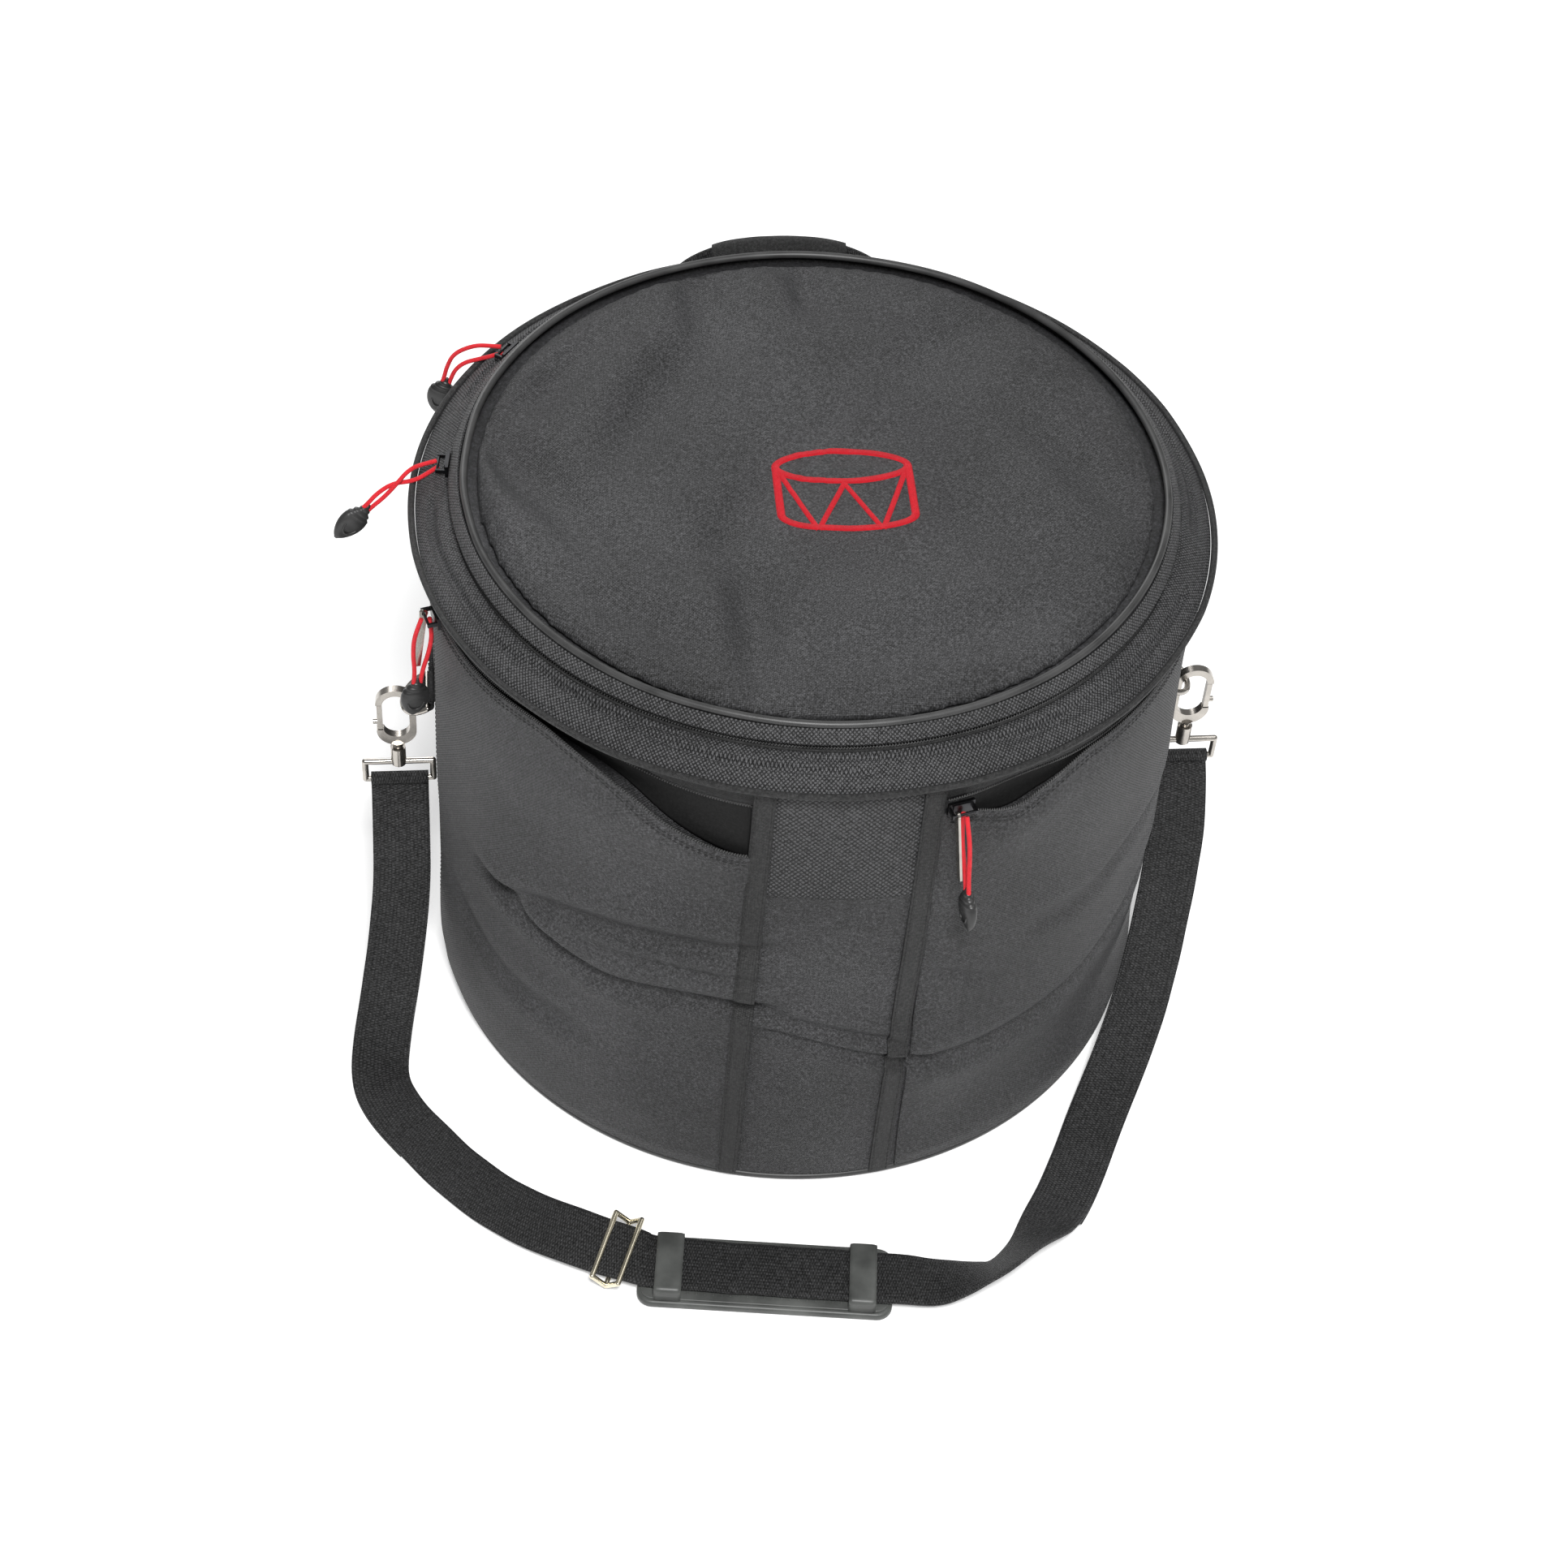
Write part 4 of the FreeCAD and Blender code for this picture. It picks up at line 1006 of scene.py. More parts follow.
def make_wall():
    """The wall in three layers: woven skin, foam, and a lining that also covers the floor."""
    outer = slab_profile(WALL_RADIUS - 1.4 * MM, WALL_RADIUS, WALL_LOW, WALL_HIGH, 3 * MM)
    skin = build("wall_skin", [turned_part(outer, (0, 360), 0.5, wall_drape)], "shell", "bag",
                 ["wall_panel"])

    def lining_drape(theta, radius, level):
        ease = smoothstep(0.015, 0.06, level) * (1 - smoothstep(0.30, 0.345, level))
        ripple = 0.0010 * np.minimum(lumps(theta * 1.0 + 40, level * 1.3), 0.4) * ease
        return theta, radius + ripple - 0.0004 + 0.45 * np.minimum(slump(theta, level),
                                                                   0.002), level

    def foam_drape(theta, radius, level):
        """The foam follows the skin's creases but is squashed against the lining."""
        theta, pushed, level = wall_drape(theta, radius, level)
        return theta, np.maximum(pushed, lining_drape(theta, LINING_RADIUS, level)[1] + 0.3
                                 * MM), level

    foam = slab_profile(FOAM_RADIUS - 8.0 * MM, FOAM_RADIUS - 0.4 * MM, low("wall_foam"),
                        high("wall_foam"), 8 * MM)
    padding = build("wall_padding", [turned_part(foam, (0, 360), 1.5, foam_drape)], "foam", "bag",
                    ["wall_foam"])

    sleeve = slab_profile(LINING_RADIUS - 1.0 * MM, LINING_RADIUS, low("lining"), high("lining"),
                          5 * MM)
    rings = (0.0005, 0.05, 0.12, 0.18, LINING_RADIUS - 1.2 * MM)
    floor = [(radius, low("lining")) for radius in rings]
    floor += [(radius, low("lining") + 1 * MM) for radius in reversed(rings)]
    build("inner_lining", [turned_part(sleeve, (0, 360), 1.0, lining_drape),
                           turned_part(floor, (0, 360), 3.0, still)], "lining", "bag", ["lining"])


def disc_profile(radius, bottom, top, edge):
    """A flat disc's section from its centre out, with a rounded rim."""
    bevel = 0.15 * (top - bottom)
    return [(POLE, bottom), (radius * 0.5, bottom), (radius - edge, bottom),
            (radius - 0.3 * edge, bottom + bevel), (radius, (bottom + top) / 2),
            (radius - 0.3 * edge, top - bevel), (radius - edge, top), (radius * 0.5, top),
            (POLE, top)]


def make_base():
    """The bag's bottom in three layers, and the piping round its foot."""
    for name, node, slot, edge in (("base_cloth", "base_panel", "base_fabric", 0.6 * MM),
                                   ("base_stiffener", "base_board", "board", 0.5 * MM),
                                   ("base_padding", "base_foam", "foam", 2.5 * MM)):
        section = disc_profile(reach(node), low(node), high(node), edge)
        piece = build(name, [turned_part(section, (0, 360), 2.0, still)], slot, "bag", [node])
    ring_cord("hem_piping", "base_piping", still, 1.0)


POCKET_THICK = 1.3 * MM
POCKET_EDGE = 3.0
# Low edge of the near-black sheet painted as shade behind the pocket mouths.
SHADE_SHEET_LOW = POCKET_HIGH - 30 * MM


def lip_shift(theta):
    """How far an unzipped pocket's lip drops, and how far it stands out, round the bag."""
    left = theta < 270
    closed = (0.0062 + zip_rise(theta)) * np.where(left, 1 - smoothstep(222, 246, theta),
                                                   smoothstep(300, 308, theta))
    drop = np.where(left, 0.0300 * smoothstep(233, 258, theta),
                    0.0100 * hump(theta, 294, 6.0)) - closed
    out = np.where(left, 0.0080 * hump(theta, 240, 13), 0.0050 * hump(theta, 295, 6.5))
    return drop, out


def zip_rise(theta):
    """How far the left pocket's upper zip tape is drawn up towards the ridge."""
    return np.where(theta < 270, 0.0085 * hump(theta, 229, 14), 0.0015 * hump(theta, 296, 8))


def tape_drape(theta, radius, level):
    """The upper zip tape follows the wall and rises over an open pocket."""
    return theta, radius + slump(theta, level), level + zip_rise(theta)


def shade_sheet_drape(theta, radius, level):
    """The near-black sheet behind a pocket's mouth, painted shade for the shadow inside the
    pocket, reaches down only where the lip sags.
    """
    share = (level - SHADE_SHEET_LOW) / (TAPE_LOW + 4 * MM - SHADE_SHEET_LOW)
    low_edge = POCKET_HIGH - 4 * MM - lip_shift(theta)[0]
    height = low_edge + share * (TAPE_LOW + 4 * MM + zip_rise(theta) - low_edge)
    return theta, radius + slump(theta, height), height


def pocket_drape(span):
    """The drape of a pocket that is sewn down along its ends and foot and sags at its lip."""
    def drape(theta, radius, level):
        edge = smoothstep(0, POCKET_EDGE, np.minimum(theta - span[0], span[1] - theta))
        foot = smoothstep(0.0, 0.012, level - POCKET_LOW)
        seated = (1 - edge * foot) * (POCKET_RADIUS - WALL_RADIUS - 2.6 * MM)
        lip = smoothstep(0.235, POCKET_HIGH, level)
        drop, out = lip_shift(theta)
        full = 0.0022 * (0.6 + 0.5
                         * lumps(theta + 70,
                                 level * 1.2)) * edge * foot * (1 - smoothstep(0.30, 0.322, level))
        radius = radius - seated + slump(theta, level - drop
                                         * lip ** 1.6) + full + out * lip ** 1.5
        return theta, radius, level - drop * lip ** 1.6
    return drape


def make_pockets():
    """Patch pockets with sagging lips, their zip tapes, the coils of both, and a near-black sheet
    behind each mouth as painted shade.
    """
    for side, span in (("left", (LEFT_POCKET[0], 257.4)), ("right", (282.6, RIGHT_POCKET[1]))):
        section = slab_profile(POCKET_RADIUS - POCKET_THICK, POCKET_RADIUS, POCKET_LOW,
                               POCKET_HIGH, 2.6 * MM)
        drape = pocket_drape(span)
        panel = build(f"pocket_panel_{side}",
                      [turned_part(section, span, 0.5, drape)], "pocket_fabric", "bag",
                      [f"pocket_{side}"])
        tape = slab_profile(WALL_RADIUS + 0.1 * MM, WALL_RADIUS + 1.3 * MM, TAPE_LOW, TAPE_HIGH,
                            3 * MM)
        build(f"pocket_zip_tape_{side}",
              [turned_part(tape, span, 1.0, tape_drape)], "zip_tape", "bag",
              [f"pocket_tape_{side}"])
        coils = []
        for radius, level in ((WALL_RADIUS + 1.3 * MM, TAPE_LOW - 0.9 * MM),
                              (POCKET_RADIUS - 0.8 * MM, POCKET_HIGH + 0.6 * MM)):
            theta = np.linspace(span[0] + 1.2, span[1] - 1.0, 240)
            angle, place, height = (tape_drape if level > POCKET_HIGH + 2 * MM else drape)(
                theta, np.full(240, radius), np.full(240, level))
            coils.append(coil_part(cylinder_points(angle, place, height), 1.5 * MM, 0.62 * MM,
                                   0.36 * MM))
        build(f"pocket_zip_coils_{side}", coils, "zip_coil", "bag", [f"pocket_coils_{side}"])
        hems = []
        for setback in (4.2 * MM, 6.6 * MM):
            theta = np.linspace(span[0] + 1.5, span[1] - 1.0, 260)
            hems.append(seam_part(theta, POCKET_RADIUS + 0.05 * MM, POCKET_HIGH - setback, drape))
        # A near-black sheet behind each mouth: painted shade for the shadow inside the pocket.
        shade_sheet = slab_profile(WALL_RADIUS + 0.1 * MM, WALL_RADIUS + 0.5 * MM, SHADE_SHEET_LOW,
                               TAPE_LOW + 4 * MM, 3 * MM)
        build(f"pocket_shade_sheet_{side}",
              [turned_part(shade_sheet, (span[0] + 3, span[1] - 1), 0.5,
                           shade_sheet_drape)], "pocket_shade_sheet", "bag")
        outer_end = span[0] + 1.1 if side == "left" else span[1] - 1.1
        level = np.linspace(POCKET_LOW + 6 * MM, POCKET_HIGH - 8 * MM, 160)
        hems.append(seam_part(outer_end, POCKET_RADIUS + 0.1 * MM, level, drape))
        build(f"pocket_stitching_{side}", hems, "stitching", "bag")


def coil_part(line, pitch, radius, wire):
    """A zip's continuous nylon coil wound along a line."""
    distance = lengths_along(line)
    turns = int(distance[-1] / pitch)
    samples = turns * 8 + 1
    at = np.linspace(0, distance[-1], samples)
    middle = sampled(line, distance, at)
    phase = np.linspace(0, turns * 2 * math.pi, samples)[:, None]
    outward = unit(middle * (1, 1, 0))
    helix = middle + outward * (radius * 0.8
                                * np.cos(phase)) + np.array([[0, 0, 1.0]]) * (radius * 1.25
                                                                              * np.sin(phase))
    return tube_part(helix, wire, (0, 0, 1), 5)


def strip_part(centre_low, centre_high, half_deg, low_level, high_level, radius, thick, drape):
    """A flat strip up the wall, leaning from one angle to another."""
    share = np.linspace(0, 1, 110)
    across = np.linspace(-1, 1, 9)
    level = low_level + (high_level - low_level) * share
    theta = centre_low + (centre_high - centre_low) * share
    angle = theta[:, None] + across[None, :] * half_deg
    heights = np.broadcast_to(level[:, None], angle.shape)
    crown = thick * (1 - 0.5 * np.abs(across) ** 6)[None, :]
    outer = np.broadcast_to(radius + crown, angle.shape)
    inner = np.full(angle.shape, radius - 0.6 * MM)
    draped, dropped = drape(angle, outer, heights)[1:]
    top = cylinder_points(angle, draped, dropped)
    bottom = cylinder_points(angle, draped - (outer - inner), dropped)
    points = np.concatenate([top, bottom[:, ::-1]], axis=1)
    around = lengths_along(np.vstack([points[0], points[0][:1]]))
    part = grid_part(points, level, around, False, True, True)
    seams = [stitches_part(top[:, column], outward_at(theta), SEAM_STITCH, 1.0 * MM, 0.25 * MM)
             for column in (1, 7)]
    return part, seams


def make_front():
    """The panel between the pockets, woven coarse at its top, and the tapes that bind it."""
    span = (257.2, 282.8)
    weave_low = 0.262

    def panel_drape(theta, radius, level):
        ends = smoothstep(0, 2.0, np.minimum(theta - span[0], span[1] - theta))
        belly = 0.0012 * ends * (0.7 + 0.6 * lumps(theta + 130, level))
        belly = belly * smoothstep(0.006, 0.03, level) * (1 - smoothstep(0.31, 0.34, level))
        return theta, radius + slump(theta, level) + belly, level

    plain = slab_profile(WALL_RADIUS + 0.2 * MM, WALL_RADIUS + 1.4 * MM, low("front_panel"),
                         weave_low + 4 * MM, 2.6 * MM)
    coarse = slab_profile(WALL_RADIUS + 0.5 * MM, WALL_RADIUS + 2.0 * MM, weave_low,
                          high("front_panel"), 2.6 * MM)
    build("front_panel_lower",
          [turned_part(plain, span, 0.4, panel_drape)], "pocket_fabric", "bag", ["front_panel"])
    build("front_panel_upper",
          [turned_part(coarse, span, 0.4, panel_drape)], "panel_weave", "bag")
    strips, seams = [], []
    for foot, head in ((256.0, 258.3), (279.9, 281.7)):
        part, rows = strip_part(foot, head, 1.55, low("pocket_bindings"), high("pocket_bindings"),
                                WALL_RADIUS + 3.4 * MM, 0.9 * MM, wall_drape)
        strips.append(part)
        seams += rows
    build("pocket_binding_tapes", strips, "binding", "bag", ["pocket_bindings"])
    build("pocket_binding_stitches", seams, "stitching", "bag")
    centre = sum(BACK_SEAM) / 2
    part, rows = strip_part(centre, centre, 2.6, low("back_seam_tape"), high("back_seam_tape"),
                            WALL_RADIUS + 0.3 * MM, 1.1 * MM, wall_drape)
    build("back_seam_binding", [part], "binding", "bag", ["back_seam_tape"])
    build("back_seam_stitches", rows, "stitching", "bag")


# ---------------------------------------------------------------- upper band and zip

BAND_CREASES = [
    # (degrees, radius) route, depth and half width
    (((206, 0.2185), (218, 0.2130), (232, 0.2110), (250, 0.2170), (262, 0.2150), (276, 0.2190)),
     0.0034, 0.0026),
    (((214, 0.2095), (226, 0.2105), (240, 0.2085), (252, 0.2105)), 0.0024, 0.0022),
    (((258, 0.2105), (272, 0.2090), (286, 0.2110), (300, 0.2140), (316, 0.2125)), 0.0030, 0.0024),
    (((288, 0.2190), (298, 0.2150), (308, 0.2185), (322, 0.2150), (340, 0.2180)), 0.0032, 0.0028),
    (((176, 0.2160), (188, 0.2190), (200, 0.2140), (212, 0.2175)), 0.0032, 0.0030),
    (((346, 0.2140), (362, 0.2190), (384, 0.2140), (404, 0.2180), (428, 0.2150)), 0.0026, 0.0028),
    (((112, 0.2180), (126, 0.2140), (142, 0.2175), (160, 0.2150)), 0.0024, 0.0028),
]


def band_sink(theta, radius):
    """Folds that run along the flaring band, and its soft rise between its seams."""
    total = np.zeros_like(radius)
    for route, depth, width in BAND_CREASES:
        line = steered_line(route)
        start, end = route[0][0], route[-1][0]
        angle = np.where(theta < start - 180, theta + 360, theta)
        inside = smoothstep(start, start + 7, angle) * (1 - smoothstep(end - 7, end, angle))
        distance = radius - np.interp(angle, line[:, 0], line[:, 1])
        banks = 0.4 * hump(distance, 2.1 * width, 1.3 * width) + 0.3 * hump(distance,
                                                                            -2.1 * width,
                                                                            1.3 * width)
        total += 1.7 * depth * inside * (hump(distance, 0, width) - banks)
    return total


def ridge_wave(theta, share):
    """How far the ridge wanders out or in; it is held short of the zip pulls that pass it."""
    return np.minimum(0.0009 * lumps(theta + 20, np.full(theta.shape, 0.25)) * share, 0.2 * MM)


def make_band():
    """The padded band that flares from the zip out to the ridge, and the ridge piping."""
    top, bottom = high("upper_band"), low("upper_band")
    outer, inner = RIDGE_RADIUS - 4.4 * MM, 0.2066
    crest = 0.3525
    upper = [(inner, crest - 0.5 * MM), (inner, top), (inner + 6 * MM, top - 1.6 * MM),
             (inner + 12 * MM, top - 4.2 * MM), (outer - 2 * MM, crest + 0.3 * MM),
             (outer, crest - 1.5 * MM), (outer, crest - 3.2 * MM), (0.2203, bottom),
             (0.2092, bottom), (inner, crest - 0.5 * MM)]
    section = refine(upper, 1.3 * MM)[:-1]

    def drape(theta, radius, level):
        share = np.clip((radius - inner) / (outer - inner), 0, 1)
        top_face = smoothstep(bottom + 3 * MM, bottom + 7 * MM, level)
        top_face = top_face * smoothstep(inner, inner + 2 * MM, radius)
        rise = (0.0016 * np.sin(math.pi * share) - band_sink(theta, radius)
                + 0.0006 * lumps(theta, radius + 0.3))
        held = smoothstep(0.0, 0.12, share) * (1 - 0.8 * smoothstep(0.88, 1.0, share))
        level = level + np.minimum(rise, 0.5 * MM) * top_face * held
        return theta, radius + ridge_wave(theta, share), level

    band = build("flared_band", [turned_part(section, (0, 360), 0.4, drape)], "band", "bag",
                 ["upper_band"])

    def ridge_drape(theta, radius, level):
        return theta, radius + ridge_wave(theta, 1.0), level

    ring_cord("ridge_cord", "ridge_piping", ridge_drape, 0.6, look="binding", share=0.9)
    seam = np.linspace(0, 360, 700)
    for name, radius, level in (("ridge_stitches", WALL_RADIUS + 0.2 * MM, WALL_HIGH - 5 * MM),
                                ("hem_stitches", WALL_RADIUS + 0.2 * MM, WALL_LOW + 6 * MM)):
        threads = seam_part(seam, radius, level, wall_drape, 1.1 * MM, 0.25 * MM)
        build(name, [threads], "stitching", "bag")


def make_main_zip():
    """Both halves of the lid's zip, and the cloth hinge that closes the circle."""
    for name, node, body in (("zip_tape_outer", "zip_tape_body", "bag"),
                             ("zip_tape_inner", "zip_tape_lid", "lid")):
        radius = reach(node)
        section = slab_profile(radius - 1.0 * MM, radius, low(node), high(node), 2.0 * MM)
        build(name, [turned_part(section, ZIP_SPAN, 1.0, still)], "zip_tape", body, [node])
    theta = np.linspace(ZIP_SPAN[0], ZIP_SPAN[1], 900)
    for name, node, body in (("zip_coil_outer", "zip_coil_body", "bag"),
                             ("zip_coil_inner", "zip_coil_lid", "lid")):
        middle = (low(node) + high(node)) / 2
        radius = reach(node) - (middle - low(node))
        line = cylinder_points(theta, np.full(900, radius), np.full(900, middle))
        build(name, [coil_part(line, 1.7 * MM, 0.68 * MM, 0.40 * MM)], "zip_coil", body, [node])
    hinge_section = refine([(0.2061, 0.3520), (0.2061, 0.3620), (0.2042, 0.3655), (0.2042, 0.3688),
                            (0.2032, 0.3688), (0.2032, 0.3650), (0.2051, 0.3615), (0.2051, 0.3520),
                            (0.2061, 0.3520)], 1.2 * MM)[:-1]
    hinge = build("hinge_cloth", [turned_part(hinge_section, HINGE_SPAN, 0.6, still)], "binding",
                  None, ["hinge_tape", "hinge_flap"])
    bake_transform(hinge)


# ---------------------------------------------------------------- lid

LID_DENTS = [
    # (x, y), half length, half width, heading in degrees, depth
    ((-0.054, 0.148), 0.048, 0.012, 98, 0.0105),
    ((-0.086, 0.062), 0.056, 0.015, 64, 0.0110),
    ((0.008, 0.162), 0.024, 0.009, 96, 0.0085),
    ((-0.150, -0.016), 0.048, 0.014, 116, 0.0110),
    ((-0.174, 0.010), 0.028, 0.009, 104, 0.0090),
    ((-0.150, 0.075), 0.040, 0.013, 50, 0.0055),
    ((-0.045, -0.120), 0.052, 0.012, 90, 0.0110),
    ((-0.052, -0.050), 0.034, 0.014, 66, 0.0050),
    ((0.158, -0.012), 0.046, 0.017, 118, 0.0075),
    ((0.095, 0.110), 0.055, 0.022, 40, 0.0045),
    ((0.070, -0.135), 0.060, 0.016, 16, 0.0036),
    ((-0.105, -0.120), 0.045, 0.014, -38, 0.0040),
]
DEEPEST_DENT = 8.2 * MM


def lid_dent(x, y):
    """How far the slack lid has sunk at a place."""
    total = np.zeros_like(x)
    for (cx, cy), long, wide, heading, depth in LID_DENTS:
        turn = math.radians(heading)
        along = (x - cx) * math.cos(turn) + (y - cy) * math.sin(turn)
        across = -(x - cx) * math.sin(turn) + (y - cy) * math.cos(turn)
        total += depth * np.exp(-(along / long) ** 2 - (across / wide) ** 2)
        total -= 0.35 * depth * np.exp(-(along / long) ** 2
                                       - ((across - 1.9 * wide) / (1.2 * wide)) ** 2)
    return np.where(total > 0, DEEPEST_DENT * np.tanh(total / DEEPEST_DENT), total)


def inflate(piece, pressure, cap, voxel):
    """Swells a closed pad with a cloth simulation, then keeps the result in its mesh."""
    remesh = piece.modifiers.new("remesh", "REMESH")
    remesh.mode = "VOXEL"
    remesh.voxel_size = voxel
    apply_modifiers(piece)
    start = read_points(piece)
    cloth = piece.modifiers.new("cloth", "CLOTH")
    cloth.settings.use_pressure = True
    cloth.settings.uniform_pressure_force = pressure
    cloth.settings.effector_weights.gravity = 0
    cloth.settings.tension_stiffness = 12
    cloth.settings.compression_stiffness = 12
    cloth.settings.bending_stiffness = 0.4
    for number in range(1, 21):
        scene.frame_set(number)
    apply_modifiers(piece)
    scene.frame_set(1)
    moved_by = read_points(piece) - start
    length = np.linalg.norm(moved_by, axis=1, keepdims=True)
    moved_by = moved_by * np.minimum(1.0, cap / np.maximum(length, 1e-9))
    write_points(piece, start + moved_by)


def apply_modifiers(piece):
    """Keeps what the modifiers made as the piece's own mesh."""
    graph = bpy.context.evaluated_depsgraph_get()
    graph.update()
    finished = bpy.data.meshes.new_from_object(piece.evaluated_get(graph))
    piece.modifiers.clear()
    old = piece.data
    piece.data = finished
    bpy.data.meshes.remove(old)


def read_points(piece):
    points = np.empty(len(piece.data.vertices) * 3)
    piece.data.vertices.foreach_get("co", points)
    return points.reshape(-1, 3)


def write_points(piece, points):
    piece.data.vertices.foreach_set("co", np.asarray(points).ravel())
    piece.data.update()


def make_lid():
    """The padded lid: a cloth-simulated cushion, its edge band, piping and lining."""
    rim = reach("lid_panel")
    floor = low("lid_foam")
    under, over = floor + 0.6 * MM, LID_TOP - 1.0 * MM
    section = [(POLE, under), (rim * 0.35, under), (rim * 0.7, under), (rim - 3 * MM, under),
               (rim - 0.6 * MM, floor + 2.5 * MM), (rim - 0.6 * MM, LID_TOP - 3.0 * MM),
               (rim - 3 * MM, LID_TOP - 1.4 * MM), (rim * 0.7, over), (rim * 0.35, over),
               (POLE, over)]
    lid = build("lid_cushion", [turned_part(section, (0, 360), 2.0, still)], "lid_top", "lid",
                ["lid_panel", "lid_foam"])
    inflate(lid, 4.0, 4.0 * MM, 4.5 * MM)
    divide = lid.modifiers.new("divide", "SUBSURF")
    divide.levels = divide.render_levels = 1
    apply_modifiers(lid)
    points = read_points(lid)
    radius = np.hypot(points[:, 0], points[:, 1])
    theta = np.degrees(np.arctan2(points[:, 1], points[:, 0]))
    inside = 1 - smoothstep(rim - 0.016, rim - 0.001, radius)
    top_face = smoothstep(LID_TOP - 4 * MM, LID_TOP - 2 * MM, points[:, 2])
    pucker = 0.00035 * np.sin(np.radians(theta) * 104) * hump(radius, rim - 0.008, 0.007)
    sink = lid_dent(points[:, 0],
                    points[:, 1]) * inside - pucker - 0.0006 * lumps(theta, radius) * inside
    points[:, 2] = np.minimum(points[:, 2], LID_TOP + 2.5 * MM) - sink * top_face
    points[:, 2] = np.maximum(points[:, 2], floor + 0.3 * MM)
    outside = np.minimum(1.0, (rim + 1.0 * MM) / np.maximum(radius, 1e-6))
    points[:, 0] *= outside
    points[:, 1] *= outside
    write_points(lid, points)
    lid.data.polygons.foreach_set("use_smooth", [True] * len(lid.data.polygons))
    lid.data.materials.clear()
    lid.data.materials.append(MATERIALS["lid_top"])
    make_lid_edge()
    return lid


def make_lid_edge():
    """What finishes the lid's rim: its piping, its sloping band and the lining's disc."""
    def rim_drape(theta, radius, level):
        dent = 0.0030 * hump(turn_distance(theta % 360, 172), 0,
                             9) + 0.0016 * hump(turn_distance(theta % 360, 189), 0, 6)
        return theta, radius + 0.0004 * lumps(theta, 0.1 + 0
                                              * level) - 0.4 * dent, level - 0.25 * dent

    ring_cord("lid_rim_piping", "lid_piping", rim_drape, 0.6, body="lid", thick=2.2 * MM)
    bottom, top = low("lid_band"), high("lid_band")
    slope = [(0.2012, 0.3726), (0.2022, top), (0.2044, top - 1.9 * MM), (0.2064, 0.3697),
             (0.2076, bottom + 0.1 * MM), (0.2058, bottom + 0.1 * MM), (0.2048, 0.3688),
             (0.2012, 0.3726)]
    build("lid_edge_band",
          [turned_part(refine(slope, 1.0 * MM)[:-1], (0, 360), 0.6, still)], "band", "lid",
          ["lid_band"])

    def lining_drape(theta, radius, level):
        return theta, radius, level + 0.0004 * lumps(theta, radius) * (1 - smoothstep(0.17, 0.198,
                                                                                      radius))

    bottom, top = low("lid_lining"), high("lid_lining")
    rim = reach("lid_lining") + 2.9 * MM
    ring = refine([(0.0005, bottom), (rim, bottom), (rim, top), (0.0005, top)], 8 * MM)
    build("lid_inner_cloth", [turned_part(ring, (0, 360), 2.0, lining_drape)], "lining", "lid",
          ["lid_lining"])


def satin_part(line, wide, pitch, heights, lift):
    """Threads laid side by side across a stroke, each one arched over it."""
    distance = lengths_along(line)
    count = max(2, int(distance[-1] / pitch))
    at = np.linspace(0, distance[-1], count)
    middle = sampled(line, distance, at)
    ahead = unit(np.gradient(middle, axis=0))
    side = np.stack([-ahead[:, 1], ahead[:, 0]], axis=1)
    share = np.linspace(-1, 1, 9)
    ragged = 1 + 0.05 * np.sin(np.arange(count) * 2.4)
    reach_out = share[None, :, None] * wide / 2 * ragged[:, None, None]
    plan = middle[:, None, :] + side[:, None, :] * reach_out
    arch = lift * (1 - np.abs(share) ** 3) - 0.25 * MM * (np.abs(share) > 0.98)
    ground = heights(plan.reshape(-1, 2)).reshape(count, 9)
    centre = np.concatenate([plan, (ground + arch[None, :])[:, :, None]], axis=2)
    angle = np.arange(6) * math.pi / 3
    thread = pitch * 0.62
    along = np.concatenate([ahead, np.zeros((count, 1))], axis=1)
    points = (centre[:, :, None, :]
              + along[:, None, None, :] * (thread * np.cos(angle))[None, None, :, None]
              + np.array([0, 0, 1.0]) * (thread * np.sin(angle))[None, None, :, None])
    return repeated_part(points, share * wide / 2, np.arange(7) * thread)


def make_emblem(lid):
    """A generic drum pictogram, embroidered in satin stitch on the lid."""
    tree = BVHTree.FromObject(lid, bpy.context.evaluated_depsgraph_get())
    centre_x = 14 * MM
    line, half, squash, drop = 4.6 * MM, 40 * MM, 15 * MM, 40 * MM

    def heights(plan):
        found = []
        for x, y in plan:
            hit = tree.ray_cast(Vector((x, y, 1.0)), Vector((0, 0, -1)))[0]
            found.append(hit.z if hit else LID_TOP)
        return np.array(found)

    def oval(level, start, end, count):
        angle = np.radians(np.linspace(start, end, count))
        return np.stack([centre_x + (half - line / 2) * np.cos(angle),
                         level + (squash - line / 2) * np.sin(angle)], axis=1)

    def run(start, end):
        return np.linspace(start, end, 40) + (centre_x, 0.0)

    def shell_edge(x, level):
        return level - squash * math.sqrt(max(0.0, 1 - (x / half) ** 2))

    strokes = [(oval(0, 0, 360, 200), line), (oval(-drop, 180, 360, 120), line)]
    for x in (-half + line / 2, half - line / 2):
        strokes.append((run((x, 0), (x, -drop)), line))
    places = (-half + 5 * MM, -18 * MM, 0, 18 * MM, half - 5 * MM)
    for index in range(4):
        top_first = index % 2 == 0
        start = (places[index], shell_edge(places[index], 0 if top_first else -drop))
        end = (places[index + 1], shell_edge(places[index + 1], -drop if top_first else 0))
        strokes.append((run(start, end), line * 0.7))
    parts = [satin_part(path, wide, 0.42 * MM, heights, 0.75 * MM) for path, wide in strokes]
    build("emblem_stitches", parts, "embroidery", "lid", ["emblem"])


# ---------------------------------------------------------------- handle and fittings

